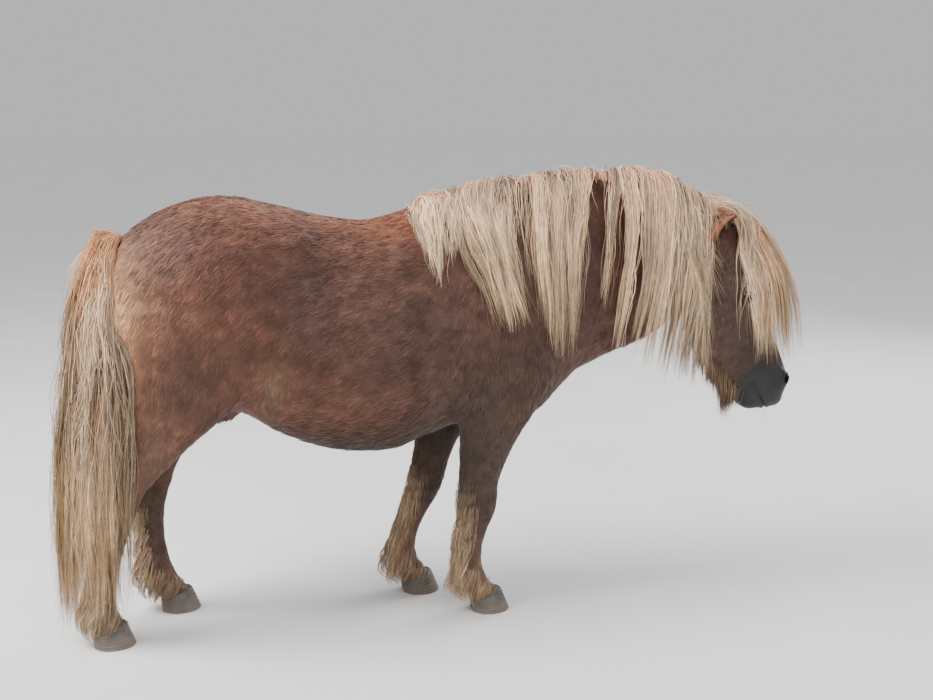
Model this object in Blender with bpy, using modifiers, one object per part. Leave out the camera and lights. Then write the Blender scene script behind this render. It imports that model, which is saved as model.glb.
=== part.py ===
"""A Shetland pony standing still, life size, about one metre high at the withers.

Metres, +Z up, the nose towards +X, the pony's right side towards -Y. The origin is on the floor,
under the middle of the pony's bounding box. The flesh is lofted in one stance frame, whose origin
is on the floor between the four hooves, fused to one skin, and parted with thin plane cuts.
"""

import math

import bmesh
import bpy
import numpy as np
from mathutils import Vector
from mathutils.bvhtree import BVHTree

# Driving dimensions, in metres: the middle of the bounding box in the stance frame, the clear space
# between two solids, the cell of the remesh, the flesh kept past a cut until it is thinned, and the
# height of the lowest hair over the floor
CENTRE_X = 0.350
GAP = 0.0003
VOXEL = 0.006
MARGIN = 0.015
FLOOR_CLEAR = 0.012

# Detail of the lofts, rounds of smoothing before and after the relief, and the seed of the locks
BODY_SIDES = 28
LEG_SIDES = 20
HOOF_SIDES = 24
DOCK_SIDES = 10
ROW_STEPS = 3
SETTLE_ROUNDS = (10, 3)
SEED = 7

# Stance frame to object frame: the box of the whole pony is centred on the origin
SHIFT = Vector((-CENTRE_X, 0.0, 0.0))

# Trunk and neck, from the buttocks to the poll. Each row is the top and the bottom of one section
# in the XZ plane, its half width, the height of its widest place as a share of its height, and the
# fullness of its upper and of its lower half (2 is an ellipse, more is squarer, less is narrower).
TRUNK = (
    (-0.414, 0.850, -0.414, 0.700, 0.075, 0.50, 2.0, 2.0),
    (-0.398, 0.900, -0.398, 0.620, 0.140, 0.50, 2.0, 2.0),
    (-0.360, 0.940, -0.360, 0.555, 0.182, 0.50, 2.1, 2.0),
    (-0.290, 0.982, -0.280, 0.525, 0.208, 0.50, 2.2, 2.0),
    (-0.200, 1.009, -0.200, 0.512, 0.220, 0.50, 2.3, 2.0),
    (-0.115, 1.008, -0.125, 0.505, 0.222, 0.48, 2.3, 2.0),
    (-0.025, 0.987, -0.040, 0.454, 0.226, 0.46, 2.2, 2.1),
    (0.066, 0.964, 0.055, 0.417, 0.238, 0.44, 2.1, 2.2),
    (0.160, 0.952, 0.150, 0.402, 0.243, 0.43, 2.1, 2.2),
    (0.230, 0.964, 0.230, 0.407, 0.238, 0.43, 2.0, 2.2),
    (0.300, 0.986, 0.300, 0.430, 0.222, 0.43, 1.9, 2.1),
    (0.370, 0.999, 0.380, 0.452, 0.203, 0.42, 1.8, 2.1),
    (0.440, 1.007, 0.470, 0.452, 0.188, 0.40, 1.7, 2.1),
    (0.510, 1.016, 0.555, 0.462, 0.163, 0.40, 1.7, 2.1),
    (0.590, 1.026, 0.620, 0.512, 0.134, 0.40, 1.7, 2.1),
    (0.670, 1.035, 0.690, 0.572, 0.112, 0.40, 1.7, 2.1),
    (0.760, 1.040, 0.770, 0.607, 0.098, 0.42, 1.7, 2.1),
    (0.850, 1.030, 0.850, 0.635, 0.089, 0.45, 1.8, 2.0),
    (0.925, 1.000, 0.905, 0.665, 0.082, 0.50, 1.9, 2.0),
    (0.990, 0.970, 0.945, 0.700, 0.076, 0.55, 2.0, 2.0),
    (1.040, 0.945, 0.985, 0.750, 0.068, 0.60, 2.0, 2.0),
)

# Head, from the poll to the lips, in rows of the same kind
HEAD = (
    (1.015, 0.955, 0.955, 0.735, 0.066, 0.60, 2.2, 2.0),
    (1.072, 0.938, 0.965, 0.705, 0.075, 0.62, 2.3, 2.0),
    (1.115, 0.900, 0.972, 0.675, 0.086, 0.66, 2.5, 2.0),
    (1.140, 0.850, 0.984, 0.648, 0.094, 0.70, 2.6, 2.0),
    (1.158, 0.795, 0.998, 0.620, 0.093, 0.70, 2.5, 2.0),
    (1.173, 0.745, 1.010, 0.592, 0.082, 0.66, 2.3, 2.0),
    (1.190, 0.700, 1.024, 0.566, 0.068, 0.60, 2.1, 2.0),
    (1.208, 0.655, 1.044, 0.544, 0.058, 0.55, 2.1, 2.1),
    (1.226, 0.612, 1.066, 0.526, 0.051, 0.52, 2.1, 2.1),
    (1.242, 0.572, 1.088, 0.507, 0.049, 0.52, 2.1, 2.2),
    (1.255, 0.538, 1.106, 0.487, 0.051, 0.52, 2.2, 2.2),
    (1.256, 0.512, 1.127, 0.467, 0.050, 0.52, 2.2, 2.2),
    (1.241, 0.484, 1.152, 0.453, 0.046, 0.52, 2.2, 2.2),
    (1.220, 0.465, 1.178, 0.449, 0.036, 0.50, 2.0, 2.0),
)

# Legs, from inside the trunk to inside the hoof. Each row is the middle of one level section
# (x, distance from the midline, z), its half length along X and its half width.
FORE_RIGHT = (
    (0.385, 0.095, 0.860, 0.085, 0.050),
    (0.430, 0.110, 0.740, 0.125, 0.068),
    (0.470, 0.118, 0.620, 0.125, 0.072),
    (0.475, 0.117, 0.560, 0.112, 0.070),
    (0.462, 0.112, 0.500, 0.094, 0.060),
    (0.448, 0.105, 0.450, 0.078, 0.052),
    (0.435, 0.098, 0.395, 0.064, 0.045),
    (0.424, 0.092, 0.335, 0.053, 0.039),
    (0.421, 0.088, 0.285, 0.050, 0.038),
    (0.420, 0.087, 0.250, 0.047, 0.037),
    (0.411, 0.085, 0.210, 0.039, 0.031),
    (0.404, 0.083, 0.165, 0.033, 0.027),
    (0.400, 0.082, 0.125, 0.035, 0.029),
    (0.404, 0.081, 0.095, 0.039, 0.033),
    (0.422, 0.080, 0.066, 0.035, 0.032),
    (0.439, 0.079, 0.042, 0.040, 0.037),
    (0.446, 0.079, 0.015, 0.036, 0.033),
)
FORE_LEFT = (
    (0.385, 0.095, 0.860, 0.085, 0.050),
    (0.425, 0.110, 0.740, 0.125, 0.068),
    (0.455, 0.118, 0.620, 0.125, 0.072),
    (0.450, 0.117, 0.560, 0.112, 0.070),
    (0.425, 0.112, 0.500, 0.094, 0.060),
    (0.392, 0.105, 0.450, 0.077, 0.052),
    (0.362, 0.099, 0.395, 0.060, 0.045),
    (0.343, 0.094, 0.340, 0.051, 0.039),
    (0.331, 0.092, 0.290, 0.049, 0.038),
    (0.319, 0.091, 0.255, 0.047, 0.037),
    (0.300, 0.090, 0.212, 0.039, 0.031),
    (0.281, 0.088, 0.167, 0.034, 0.027),
    (0.269, 0.087, 0.127, 0.035, 0.029),
    (0.267, 0.086, 0.097, 0.039, 0.033),
    (0.282, 0.085, 0.067, 0.035, 0.032),
    (0.298, 0.085, 0.042, 0.040, 0.037),
    (0.304, 0.085, 0.015, 0.036, 0.033),
)
HIND_RIGHT = (
    (-0.200, 0.110, 0.900, 0.120, 0.060),
    (-0.225, 0.138, 0.780, 0.175, 0.078),
    (-0.235, 0.142, 0.680, 0.172, 0.080),
    (-0.258, 0.138, 0.590, 0.142, 0.074),
    (-0.287, 0.130, 0.520, 0.110, 0.063),
    (-0.326, 0.122, 0.460, 0.080, 0.052),
    (-0.364, 0.115, 0.405, 0.062, 0.042),
    (-0.400, 0.108, 0.358, 0.055, 0.034),
    (-0.419, 0.104, 0.320, 0.055, 0.034),
    (-0.425, 0.103, 0.285, 0.049, 0.033),
    (-0.432, 0.102, 0.240, 0.038, 0.029),
    (-0.443, 0.101, 0.185, 0.033, 0.027),
    (-0.455, 0.100, 0.135, 0.035, 0.029),
    (-0.463, 0.100, 0.100, 0.040, 0.033),
    (-0.454, 0.100, 0.068, 0.036, 0.032),
    (-0.448, 0.101, 0.042, 0.040, 0.038),
    (-0.446, 0.101, 0.015, 0.036, 0.034),
)
HIND_LEFT = (
    (-0.190, 0.110, 0.900, 0.120, 0.060),
    (-0.205, 0.138, 0.780, 0.175, 0.078),
    (-0.210, 0.142, 0.680, 0.170, 0.080),
    (-0.225, 0.136, 0.590, 0.140, 0.074),
    (-0.247, 0.128, 0.520, 0.108, 0.063),
    (-0.279, 0.119, 0.460, 0.078, 0.052),
    (-0.308, 0.111, 0.405, 0.060, 0.042),
    (-0.331, 0.104, 0.357, 0.054, 0.034),
    (-0.345, 0.100, 0.320, 0.055, 0.034),
    (-0.350, 0.098, 0.285, 0.048, 0.033),
    (-0.349, 0.097, 0.240, 0.039, 0.029),
    (-0.345, 0.096, 0.185, 0.034, 0.027),
    (-0.338, 0.095, 0.135, 0.035, 0.029),
    (-0.332, 0.094, 0.100, 0.040, 0.033),
    (-0.312, 0.094, 0.068, 0.036, 0.032),
    (-0.297, 0.094, 0.043, 0.040, 0.038),
    (-0.290, 0.094, 0.015, 0.036, 0.034),
)

# Bony and fleshy masses that the lofts leave out: middle, half sizes. Each is made on both sides.
MASSES = {
    "brow": ((1.105, 0.072, 0.772), (0.030, 0.024, 0.030)),
    "cheek": ((1.043, 0.056, 0.692), (0.060, 0.030, 0.068)),
    "nostril": ((1.226, 0.033, 0.529), (0.023, 0.018, 0.028)),
    "upper_lip": ((1.204, 0.016, 0.482), (0.036, 0.030, 0.030)),
    "lower_lip": ((1.155, 0.010, 0.469), (0.032, 0.026, 0.022)),
    "dock": ((-0.405, 0.003, 0.897), (0.050, 0.026, 0.032)),
    "sheath": ((-0.175, 0.006, 0.515), (0.055, 0.024, 0.030)),
}

# Relief of the skin: middle, reach along each axis, and rise (a hollow is negative)
RELIEF = {
    "flank hollow": ((-0.020, 0.215, 0.790), (0.060, 0.080, 0.090), -0.014),
    "hip point": ((0.000, 0.170, 0.915), (0.040, 0.060, 0.030), 0.010),
    "loin": ((0.060, 0.070, 0.960), (0.120, 0.040, 0.030), 0.004),
    "stifle": ((-0.130, 0.180, 0.570), (0.045, 0.060, 0.060), 0.008),
    "flank fold": ((-0.095, 0.190, 0.590), (0.022, 0.060, 0.090), -0.010),
    "thigh groove": ((-0.330, 0.190, 0.680), (0.018, 0.060, 0.130), -0.007),
    "buttock": ((-0.385, 0.110, 0.790), (0.050, 0.060, 0.070), 0.006),
    "elbow hollow": ((0.330, 0.200, 0.520), (0.030, 0.060, 0.050), -0.010),
    "triceps": ((0.395, 0.180, 0.610), (0.055, 0.060, 0.060), 0.008),
    "shoulder point": ((0.565, 0.120, 0.600), (0.040, 0.060, 0.050), 0.008),
    "shoulder ridge": ((0.400, 0.150, 0.800), (0.022, 0.060, 0.130), 0.006),
    "behind shoulder": ((0.300, 0.200, 0.740), (0.035, 0.060, 0.140), -0.008),
    "breast groove": ((0.600, 0.000, 0.520), (0.050, 0.014, 0.050), -0.010),
    "jugular groove": ((0.780, 0.090, 0.690), (0.140, 0.050, 0.022), -0.008),
    "temple hollow": ((1.098, 0.075, 0.835), (0.022, 0.030, 0.022), -0.006),
    "face crest": ((1.120, 0.075, 0.680), (0.014, 0.040, 0.050), 0.005),
    "nose side": ((1.178, 0.050, 0.640), (0.030, 0.030, 0.050), -0.006),
    "nose dish": ((1.205, 0.000, 0.670), (0.020, 0.030, 0.060), -0.004),
    "jaw hollow": ((1.010, 0.000, 0.600), (0.045, 0.022, 0.050), -0.020),
    "chin groove": ((1.098, 0.000, 0.500), (0.014, 0.050, 0.012), -0.006),
    "throat": ((0.950, 0.060, 0.740), (0.022, 0.060, 0.070), -0.008),
}

# Cuts that part the flesh. A plane cut is a point and the way its far side lies; the legs are cut
# by level planes inside a box of X.
NECK_CUT = (Vector((0.285, 0.0, 0.985)), Vector((0.610, 0.0, 0.500)))
HEAD_CUT = (Vector((1.000, 0.0, 0.975)), Vector((0.925, 0.0, 0.670)))
TAIL_CUT = (Vector((-0.398, 0.0, 0.935)), Vector((-0.428, 0.0, 0.865)))
FORE_CUT = 0.408
FORE_BOX = (0.277, 0.700)
HIND_CUT = 0.474
HIND_BOX = (-0.700, -0.150)

# Triangles that each kind of flesh keeps
BUDGET = {"torso": 2350, "neck": 480, "head": 1500, "leg": 400}

# Hooves: middle of the sole, half sizes of sole and coronet, height of the coronet at toe and heel
HOOF_SOLE = (0.051, 0.044)
HOOF_CORONET = (0.041, 0.038)
HOOF_SET_BACK = 0.012
CORONET_TOE = 0.054
CORONET_HEEL = 0.030

# Eyes, ears and mouth
EYE_SPOT = (1.101, 0.747)
EYE_RADIUS = 0.0195
EYE_SINK = 0.0125
EYE_SIDES = 16
LID_HALF = (0.0180, 0.0115)
LID_TUBE = 0.0040
LID_TILT = math.radians(-58.0)
NOSTRIL_SPOT = (1.240, 0.529)
NOSTRIL_HALF = (0.0065, 0.0130)
NOSTRIL_TILT = math.radians(-30.0)
NOSTRIL_RIM = 0.0036
MOUTH_CORNER = (1.150, 0.515)
MOUTH_FRONT = (1.197, 0.430)
MOUTH_TUBE = 0.0030
EAR_BASE = Vector((1.004, -0.058, 0.876))
EAR_TIP = Vector((1.060, -0.090, 0.951))
EAR_OPEN = Vector((0.76, 0.62, -0.20))
EAR_HALF = 0.0235
EAR_CUP = (1.35, 0.85)
EAR_TURN = (250.0, 140.0)
EAR_WALL = 0.0035
EAR_FOOT = (0.0235, 0.0205, 0.024)

# Long hair. A mane row is a group of locks: the reach of its roots along the crest, the reach of
# its tips along X, the heights of its first and last tip, and its number of locks.
MANE_RIGHT = (
    (0.305, 0.395, 0.300, 0.335, 0.840, 0.778, 2),
    (0.395, 0.545, 0.425, 0.530, 0.728, 0.692, 5),
    (0.570, 0.735, 0.570, 0.660, 0.645, 0.618, 4),
    (0.755, 0.850, 0.750, 0.822, 0.662, 0.602, 3),
    (0.850, 0.945, 0.835, 0.890, 0.560, 0.522, 3),
    (0.945, 0.998, 0.925, 1.000, 0.580, 0.545, 2),
)
MANE_LEFT = (
    (0.320, 0.560, 0.330, 0.545, 0.860, 0.760, 4),
    (0.575, 0.800, 0.575, 0.790, 0.740, 0.700, 4),
    (0.820, 0.998, 0.810, 0.990, 0.700, 0.640, 3),
)
MANE_FALL = (0.095, 0.135)
MANE_LOCK = (0.047, 0.013)

# The forelock: reach of the roots, reach of the tips, heights of the tips
FORELOCK_ROOTS = ((1.068, -0.038), (1.112, 0.038))
FORELOCK_TIPS = ((1.165, -0.085), (1.268, 0.055))
FORELOCK_LOW = (0.580, 0.650)
FORELOCK_COUNT = 8
FORELOCK_LOCK = (0.034, 0.012)

# The beard under the chin and the feather behind the cannons and fetlocks
BEARD_ROOTS = ((1.050, 0.012), (1.108, 0.018))
BEARD_DROP = 0.052
BEARD_COUNT = 3
BEARD_LOCK = (0.016, 0.007)
FEATHER_HEIGHTS = (0.172, 0.122)
FEATHER_DROP = (0.088, 0.085)
FEATHER_SPREAD = math.radians(75.0)
FEATHER_COUNT = (3, 4)
FEATHER_LOCK = (0.036, 0.009)

# The tail: its dock as rows of middle and radius, and the line on the ground that the tips of its
# long locks stand over, which runs round the outside and the back of the right hind leg
DOCK = (
    (-0.395, 0.000, 0.900, 0.026),
    (-0.420, -0.001, 0.888, 0.026),
    (-0.438, -0.006, 0.830, 0.024),
    (-0.445, -0.014, 0.740, 0.023),
    (-0.452, -0.024, 0.650, 0.022),
    (-0.461, -0.036, 0.560, 0.018),
    (-0.468, -0.046, 0.490, 0.008),
)
TAIL_TIPS = (
    (-0.392, -0.160),
    (-0.455, -0.178),
    (-0.525, -0.160),
    (-0.562, -0.100),
    (-0.552, -0.030),
)
TAIL_LOW = (0.020, 0.160)
TAIL_COUNT = 15
TAIL_LOCK = (0.048, 0.014)

COLOURS = {
    "coat": (0.25, 0.10, 0.05, 0.75),
    "hair": (0.62, 0.48, 0.32, 0.60),
    "horn": (0.16, 0.15, 0.15, 0.55),
    "eye": (0.02, 0.012, 0.01, 0.08),
}


def clear_scene():
    """Removes everything that the scene holds at the start."""
    for item in list(bpy.data.objects):
        bpy.data.objects.remove(item)


def collection(name):
    made = bpy.data.collections.new(name)
    bpy.context.scene.collection.children.link(made)
    return made


def material(name):
    """A Principled material in one of the named colours."""
    red, green, blue, rough = COLOURS[name]
    made = bpy.data.materials.new(name)
    made.use_nodes = True
    shader = made.node_tree.nodes["Principled BSDF"]
    shader.inputs["Base Color"].default_value = (red, green, blue, 1.0)
    shader.inputs["Roughness"].default_value = rough
    shader.inputs["Metallic"].default_value = 0.0
    made.diffuse_color = (red, green, blue, 1.0)
    return made


def mesh_object(name, points, faces, where):
    """A new mesh object with its faces pointing out."""
    mesh = bpy.data.meshes.new(name)
    mesh.from_pydata([tuple(p) for p in points], [], [tuple(f) for f in faces])
    work = bmesh.new()
    work.from_mesh(mesh)
    bmesh.ops.recalc_face_normals(work, faces=work.faces)
    work.to_mesh(mesh)
    work.free()
    made = bpy.data.objects.new(name, mesh)
    where.objects.link(made)
    return made


def spline_rows(rows, steps):
    """The rows with steps - 1 more between each two, on a Catmull-Rom curve through them."""
    rows = np.array(rows, float)
    padded = np.vstack([2 * rows[0] - rows[1], rows, 2 * rows[-1] - rows[-2]])
    made = []
    for before, start, end, after in zip(padded, padded[1:], padded[2:], padded[3:]):
        for t in np.arange(steps) / steps:
            bend = (2 * before - 5 * start + 4 * end - after) * t * t
            twist = (3 * start - before - 3 * end + after) * t**3
            made.append(start + 0.5 * ((end - before) * t + bend + twist))
    made.append(rows[-1])
    return np.array(made)


def upright_ring(row, count):
    """A section through its top and bottom points and across the midline."""
    top_x, top_z, low_x, low_z, half, waist, upper, lower = row
    top = np.array((top_x, 0.0, top_z))
    low = np.array((low_x, 0.0, low_z))
    middle = low + (top - low) * waist
    ring = []
    for turn in np.arange(count) * math.tau / count:
        c, s = math.cos(turn), math.sin(turn)
        power = 2.0 / (upper if s > 0 else lower)
        reach = (top - middle) if s > 0 else (low - middle)
        side = math.copysign(abs(c) ** power, c) * half
        ring.append(middle + reach * abs(s) ** power + np.array((0.0, side, 0.0)))
    return ring


def level_ring(row, side, count):
    """A level section of a leg."""
    x, out, z, length, width = row
    turns = np.arange(count) * math.tau / count
    return [np.array((x + length * math.cos(t), side * out + width * math.sin(t), z)) for t in turns]


def loft(name, rings, where):
    """A closed skin through rings of equal count, capped at both ends."""
    count = len(rings[0])
    points = [p for ring in rings for p in ring]
    faces = []
    for row in range(len(rings) - 1):
        for i in range(count):
            j = (i + 1) % count
            a, b = row * count, (row + 1) * count
            faces.append((a + i, a + j, b + j, b + i))
    faces.append(tuple(range(count)))
    faces.append(tuple(range(len(points) - count, len(points))))
    return mesh_object(name, points, faces, where)


def ball(name, middle, half, where, segments=24):
    """An ellipsoid."""
    work = bmesh.new()
    bmesh.ops.create_uvsphere(work, u_segments=segments, v_segments=segments // 2, radius=1.0)
    for vertex in work.verts:
        vertex.co = Vector(m + h * c for m, h, c in zip(middle, half, vertex.co))
    mesh = bpy.data.meshes.new(name)
    work.to_mesh(mesh)
    work.free()
    made = bpy.data.objects.new(name, mesh)
    where.objects.link(made)
    return made


def evaluated_mesh(item):
    """The object's mesh with its modifiers applied, as a new mesh."""
    bpy.context.view_layer.update()
    graph = bpy.context.evaluated_depsgraph_get()
    return bpy.data.meshes.new_from_object(item.evaluated_get(graph))


def apply_modifiers(item):
    """Keeps the object's modified mesh and drops its modifiers."""
    item.data = evaluated_mesh(item)
    item.modifiers.clear()
    return item


def join(name, items, where):
    """One mesh object that holds the meshes of several, which are removed."""
    work = bmesh.new()
    for item in items:
        work.from_mesh(item.data)
        bpy.data.objects.remove(item)
    mesh = bpy.data.meshes.new(name)
    work.to_mesh(mesh)
    work.free()
    made = bpy.data.objects.new(name, mesh)
    where.objects.link(made)
    return made


def as_arrays(mesh):
    """The mesh's points and edges as arrays."""
    points = np.empty(len(mesh.vertices) * 3, np.float32)
    mesh.vertices.foreach_get("co", points)
    edges = np.empty(len(mesh.edges) * 2, np.int32)
    mesh.edges.foreach_get("vertices", edges)
    return points.reshape(-1, 3).astype(float), edges.reshape(-1, 2)


def settle(mesh, rounds):
    """Smooths the mesh and keeps its volume, by a step in and a smaller step out each round."""
    points, edges = as_arrays(mesh)
    ends = np.concatenate([edges[:, 0], edges[:, 1]])
    others = np.concatenate([edges[:, 1], edges[:, 0]])
    counts = np.bincount(ends, minlength=len(points))[:, None]
    for _ in range(rounds):
        for share in (0.55, -0.57):
            pulled = [np.bincount(ends, points[others, axis], len(points)) for axis in range(3)]
            points += share * (np.stack(pulled, 1) / counts - points)
    mesh.vertices.foreach_set("co", points.astype(np.float32).ravel())
    mesh.update()


def raise_relief(mesh):
    """Lifts and sinks the skin along its normals as RELIEF says, on both sides."""
    points, _ = as_arrays(mesh)
    normals = np.empty(len(points) * 3, np.float32)
    mesh.vertex_normals.foreach_get("vector", normals)
    normals = normals.reshape(-1, 3)
    rise = np.zeros(len(points))
    for middle, reach, height in RELIEF.values():
        sides = (1,) if middle[1] == 0 else (-1, 1)
        for side in sides:
            off = (points - np.array((middle[0], side * middle[1], middle[2]))) / reach
            rise += height * np.exp(-(off * off).sum(1))
    points += normals * rise[:, None]
    mesh.vertices.foreach_set("co", points.astype(np.float32).ravel())
    mesh.update()


def flesh_skin(where):
    """The whole body as one smooth closed skin, without ears, eyes, hooves or long hair."""
    pieces = [
        loft(name, [upright_ring(r, BODY_SIDES) for r in spline_rows(rows, ROW_STEPS)], where)
        for name, rows in (("trunk", TRUNK), ("face", HEAD))
    ]
    for rows, side in ((FORE_RIGHT, -1), (FORE_LEFT, 1), (HIND_RIGHT, -1), (HIND_LEFT, 1)):
        rings = [level_ring(r, side, LEG_SIDES) for r in spline_rows(rows, ROW_STEPS)]
        pieces.append(loft("leg", rings, where))
    for name, (middle, half) in MASSES.items():
        for side in (-1, 1):
            pieces.append(ball(name, (middle[0], side * middle[1], middle[2]), half, where))
    skin = join("skin", pieces, where)
    remesh = skin.modifiers.new("one_skin", "REMESH")
    remesh.mode = "VOXEL"
    remesh.voxel_size = VOXEL
    apply_modifiers(skin)
    settle(skin.data, SETTLE_ROUNDS[0])
    raise_relief(skin.data)
    settle(skin.data, SETTLE_ROUNDS[1])
    return skin


def bvh_of(item):
    """A search tree of the object's mesh."""
    mesh = item.data
    return BVHTree.FromPolygons([v.co for v in mesh.vertices], [p.vertices for p in mesh.polygons])


def copy_of(item, name, where):
    made = bpy.data.objects.new(name, item.data.copy())
    where.objects.link(made)
    return made


def cut(item, point, normal):
    """Takes away what lies on the side of the plane that its normal points to, and closes the cut."""
    work = bmesh.new()
    work.from_mesh(item.data)
    found = bmesh.ops.bisect_plane(
        work,
        geom=work.verts[:] + work.edges[:] + work.faces[:],
        dist=1e-7,
        plane_co=point,
        plane_no=normal,
        clear_outer=True,
    )
    rim = [e for e in found["geom_cut"] if isinstance(e, bmesh.types.BMEdge)]
    rim = [e for e in rim if e.is_boundary]
    bmesh.ops.holes_fill(work, edges=rim, sides=0)
    bmesh.ops.triangulate(work, faces=[f for f in work.faces if len(f.verts) > 4])
    bmesh.ops.recalc_face_normals(work, faces=work.faces)
    work.to_mesh(item.data)
    work.free()


def thin_out(item, target):
    """Leaves about the wanted number of triangles, most where the form bends most."""
    triangles = sum(len(p.vertices) - 2 for p in item.data.polygons)
    fewer = item.modifiers.new("fewer", "DECIMATE")
    fewer.ratio = min(1.0, target / triangles)
    apply_modifiers(item)


def keep_largest(item):
    """Drops every loose scrap and inner surface, so that one closed surface is left."""
    work = bmesh.new()
    work.from_mesh(item.data)
    work.verts.ensure_lookup_table()
    seen, islands = set(), []
    for start in work.verts:
        if start in seen:
            continue
        island, front = [], [start]
        seen.add(start)
        while front:
            vertex = front.pop()
            island.append(vertex)
            for edge in vertex.link_edges:
                other = edge.other_vert(vertex)
                if other not in seen:
                    seen.add(other)
                    front.append(other)
        islands.append(island)
    islands.sort(key=len)
    for island in islands[:-1]:
        bmesh.ops.delete(work, geom=island, context="VERTS")
    work.to_mesh(item.data)
    work.free()


def cut_frame(line):
    """The middle of a slanting cut and the way its front side lies."""
    top, low = line
    along = (top - low).normalized()
    return (top + low) / 2, Vector((along.z, 0.0, -along.x))


def flesh_part(skin, name, cuts, target, where):
    """One part of the skin between cuts, each a point and an outward normal."""
    made = copy_of(skin, name, where)
    for point, normal in cuts:
        cut(made, point + normal * MARGIN, normal)
    keep_largest(made)
    thin_out(made, target)
    for point, normal in cuts:
        cut(made, point - normal * GAP / 2, normal)
    keep_largest(made)
    return made


def box(name, low, high, where):
    """A closed box between two corners."""
    work = bmesh.new()
    bmesh.ops.create_cube(work, size=1.0)
    for vertex in work.verts:
        vertex.co = Vector(l + (h - l) * (c + 0.5) for l, h, c in zip(low, high, vertex.co))
    mesh = bpy.data.meshes.new(name)
    work.to_mesh(mesh)
    work.free()
    made = bpy.data.objects.new(name, mesh)
    where.objects.link(made)
    return made


def triangulate(item):
    """Splits the mesh into triangles, so that no bent face is left for a Boolean to split."""
    work = bmesh.new()
    work.from_mesh(item.data)
    bmesh.ops.triangulate(work, faces=work.faces[:], quad_method="FIXED")
    work.to_mesh(item.data)
    work.free()


def combine(item, others, operation, whole=True):
    """One Boolean on a collection of closed meshes, applied, with the collection's objects removed."""
    group = bpy.data.collections.new("working")
    bpy.context.scene.collection.children.link(group)
    triangulate(item)
    for other in others:
        triangulate(other)
        for owner in list(other.users_collection):
            owner.objects.unlink(other)
        group.objects.link(other)
    joined = item.modifiers.new(operation.lower(), "BOOLEAN")
    joined.operation = operation
    joined.operand_type = "COLLECTION"
    joined.collection = group
    joined.solver = "MANIFOLD"
    apply_modifiers(item)
    for other in list(group.objects):
        bpy.data.objects.remove(other)
    bpy.data.collections.remove(group)
    if whole:
        keep_largest(item)
    return item


def grow(item, locks, neighbours, where):
    """Fuses locks to the node they grow from, after they are cut clear of its neighbours."""
    hair = locks[0]
    if len(locks) > 1:
        combine(hair, locks[1:], "UNION", whole=False)
    combine(hair, [inflated(n, GAP, where) for n in neighbours], "DIFFERENCE", whole=False)
    return combine(item, [hair], "UNION")


def torso(skin, where):
    """The trunk from the dock to the shoulders, with the tops of the legs cut off level."""
    middle, ahead = cut_frame(NECK_CUT)
    dock, to_trunk = cut_frame(TAIL_CUT)
    made = flesh_part(skin, "torso", [(middle, ahead), (dock, -to_trunk)], BUDGET["torso"], where)
    cutters = []
    for low_x, high_x, height in ((*FORE_BOX, FORE_CUT), (*HIND_BOX, HIND_CUT)):
        top = height + GAP / 2
        cutters.append(box("leg_cut", (low_x, -0.5, -0.1), (high_x, 0.5, top), where))
    return combine(made, cutters, "DIFFERENCE")


def leg(skin, name, rows, side, height, span, where):
    """A leg from its level cut down to the coronet."""
    up, down = Vector((0.0, 0.0, 1.0)), Vector((0.0, side * -1.0, 0.0))
    coronet, sole_way = coronet_plane(rows)
    made = copy_of(skin, name, where)
    cut(made, Vector((0.0, 0.0, height + MARGIN)), up)
    cut(made, Vector((span[0] - MARGIN, 0.0, 0.0)), Vector((-1.0, 0.0, 0.0)))
    cut(made, Vector((span[1] + MARGIN, 0.0, 0.0)), Vector((1.0, 0.0, 0.0)))
    cut(made, Vector((0.0, side * 0.004, 0.0)), down)
    cut(made, coronet + sole_way * MARGIN, sole_way)
    keep_largest(made)
    thin_out(made, BUDGET["leg"])
    cut(made, Vector((0.0, 0.0, height - GAP / 2)), up)
    cut(made, coronet - sole_way * GAP / 2, sole_way)
    keep_largest(made)
    return made


def coronet_plane(rows):
    """The middle of a leg's coronet, and the way down from it, square to its sloping rim."""
    sole_x = rows[-2][0] + HOOF_SET_BACK
    half = HOOF_CORONET[0]
    slope = Vector((2 * half, 0.0, CORONET_TOE - CORONET_HEEL)).normalized()
    middle = Vector((sole_x - HOOF_SET_BACK, 0.0, (CORONET_TOE + CORONET_HEEL) / 2))
    return middle, Vector((slope.z, 0.0, -slope.x))


def hoof(name, rows, side, where):
    """A hoof: a flaring wall from a sloping coronet to a flat sole."""
    middle, _ = coronet_plane(rows)
    out = rows[-2][1]
    rise = (CORONET_TOE - CORONET_HEEL) / 2
    turns = np.arange(HOOF_SIDES) * math.tau / HOOF_SIDES
    rings = []
    for share in (0.0, 0.08, 0.5, 1.0):
        length = HOOF_SOLE[0] + (HOOF_CORONET[0] - HOOF_SOLE[0]) * share
        width = HOOF_SOLE[1] + (HOOF_CORONET[1] - HOOF_SOLE[1]) * share
        x = middle.x + HOOF_SET_BACK * (1 - share)
        ring = []
        for turn in turns:
            back = max(0.0, -math.cos(turn))
            reach = math.cos(turn) * (1 - 0.12 * back)
            z = (middle.z + rise * math.cos(turn)) * share
            ring.append((x + length * reach, side * out + width * math.sin(turn), z))
        rings.append(ring)
    return loft(name, rings, where)


def tube_loop(name, path, radii, normals, where, sides=5):
    """A closed ring of tube along a closed path."""
    rings = []
    total = len(path)
    for i, (point, radius, out) in enumerate(zip(path, radii, normals)):
        along = (path[(i + 1) % total] - path[i - 1]).normalized()
        across = along.cross(out).normalized()
        up = across.cross(along).normalized()
        turns = [math.tau * k / sides for k in range(sides)]
        rings.append([point + (across * math.cos(t) + up * math.sin(t)) * radius for t in turns])
    points = [p for ring in rings for p in ring]
    faces = []
    for i in range(total):
        j = (i + 1) % total
        for k in range(sides):
            m = (k + 1) % sides
            faces.append((i * sides + k, i * sides + m, j * sides + m, j * sides + k))
    return mesh_object(name, points, faces, where)


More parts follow.
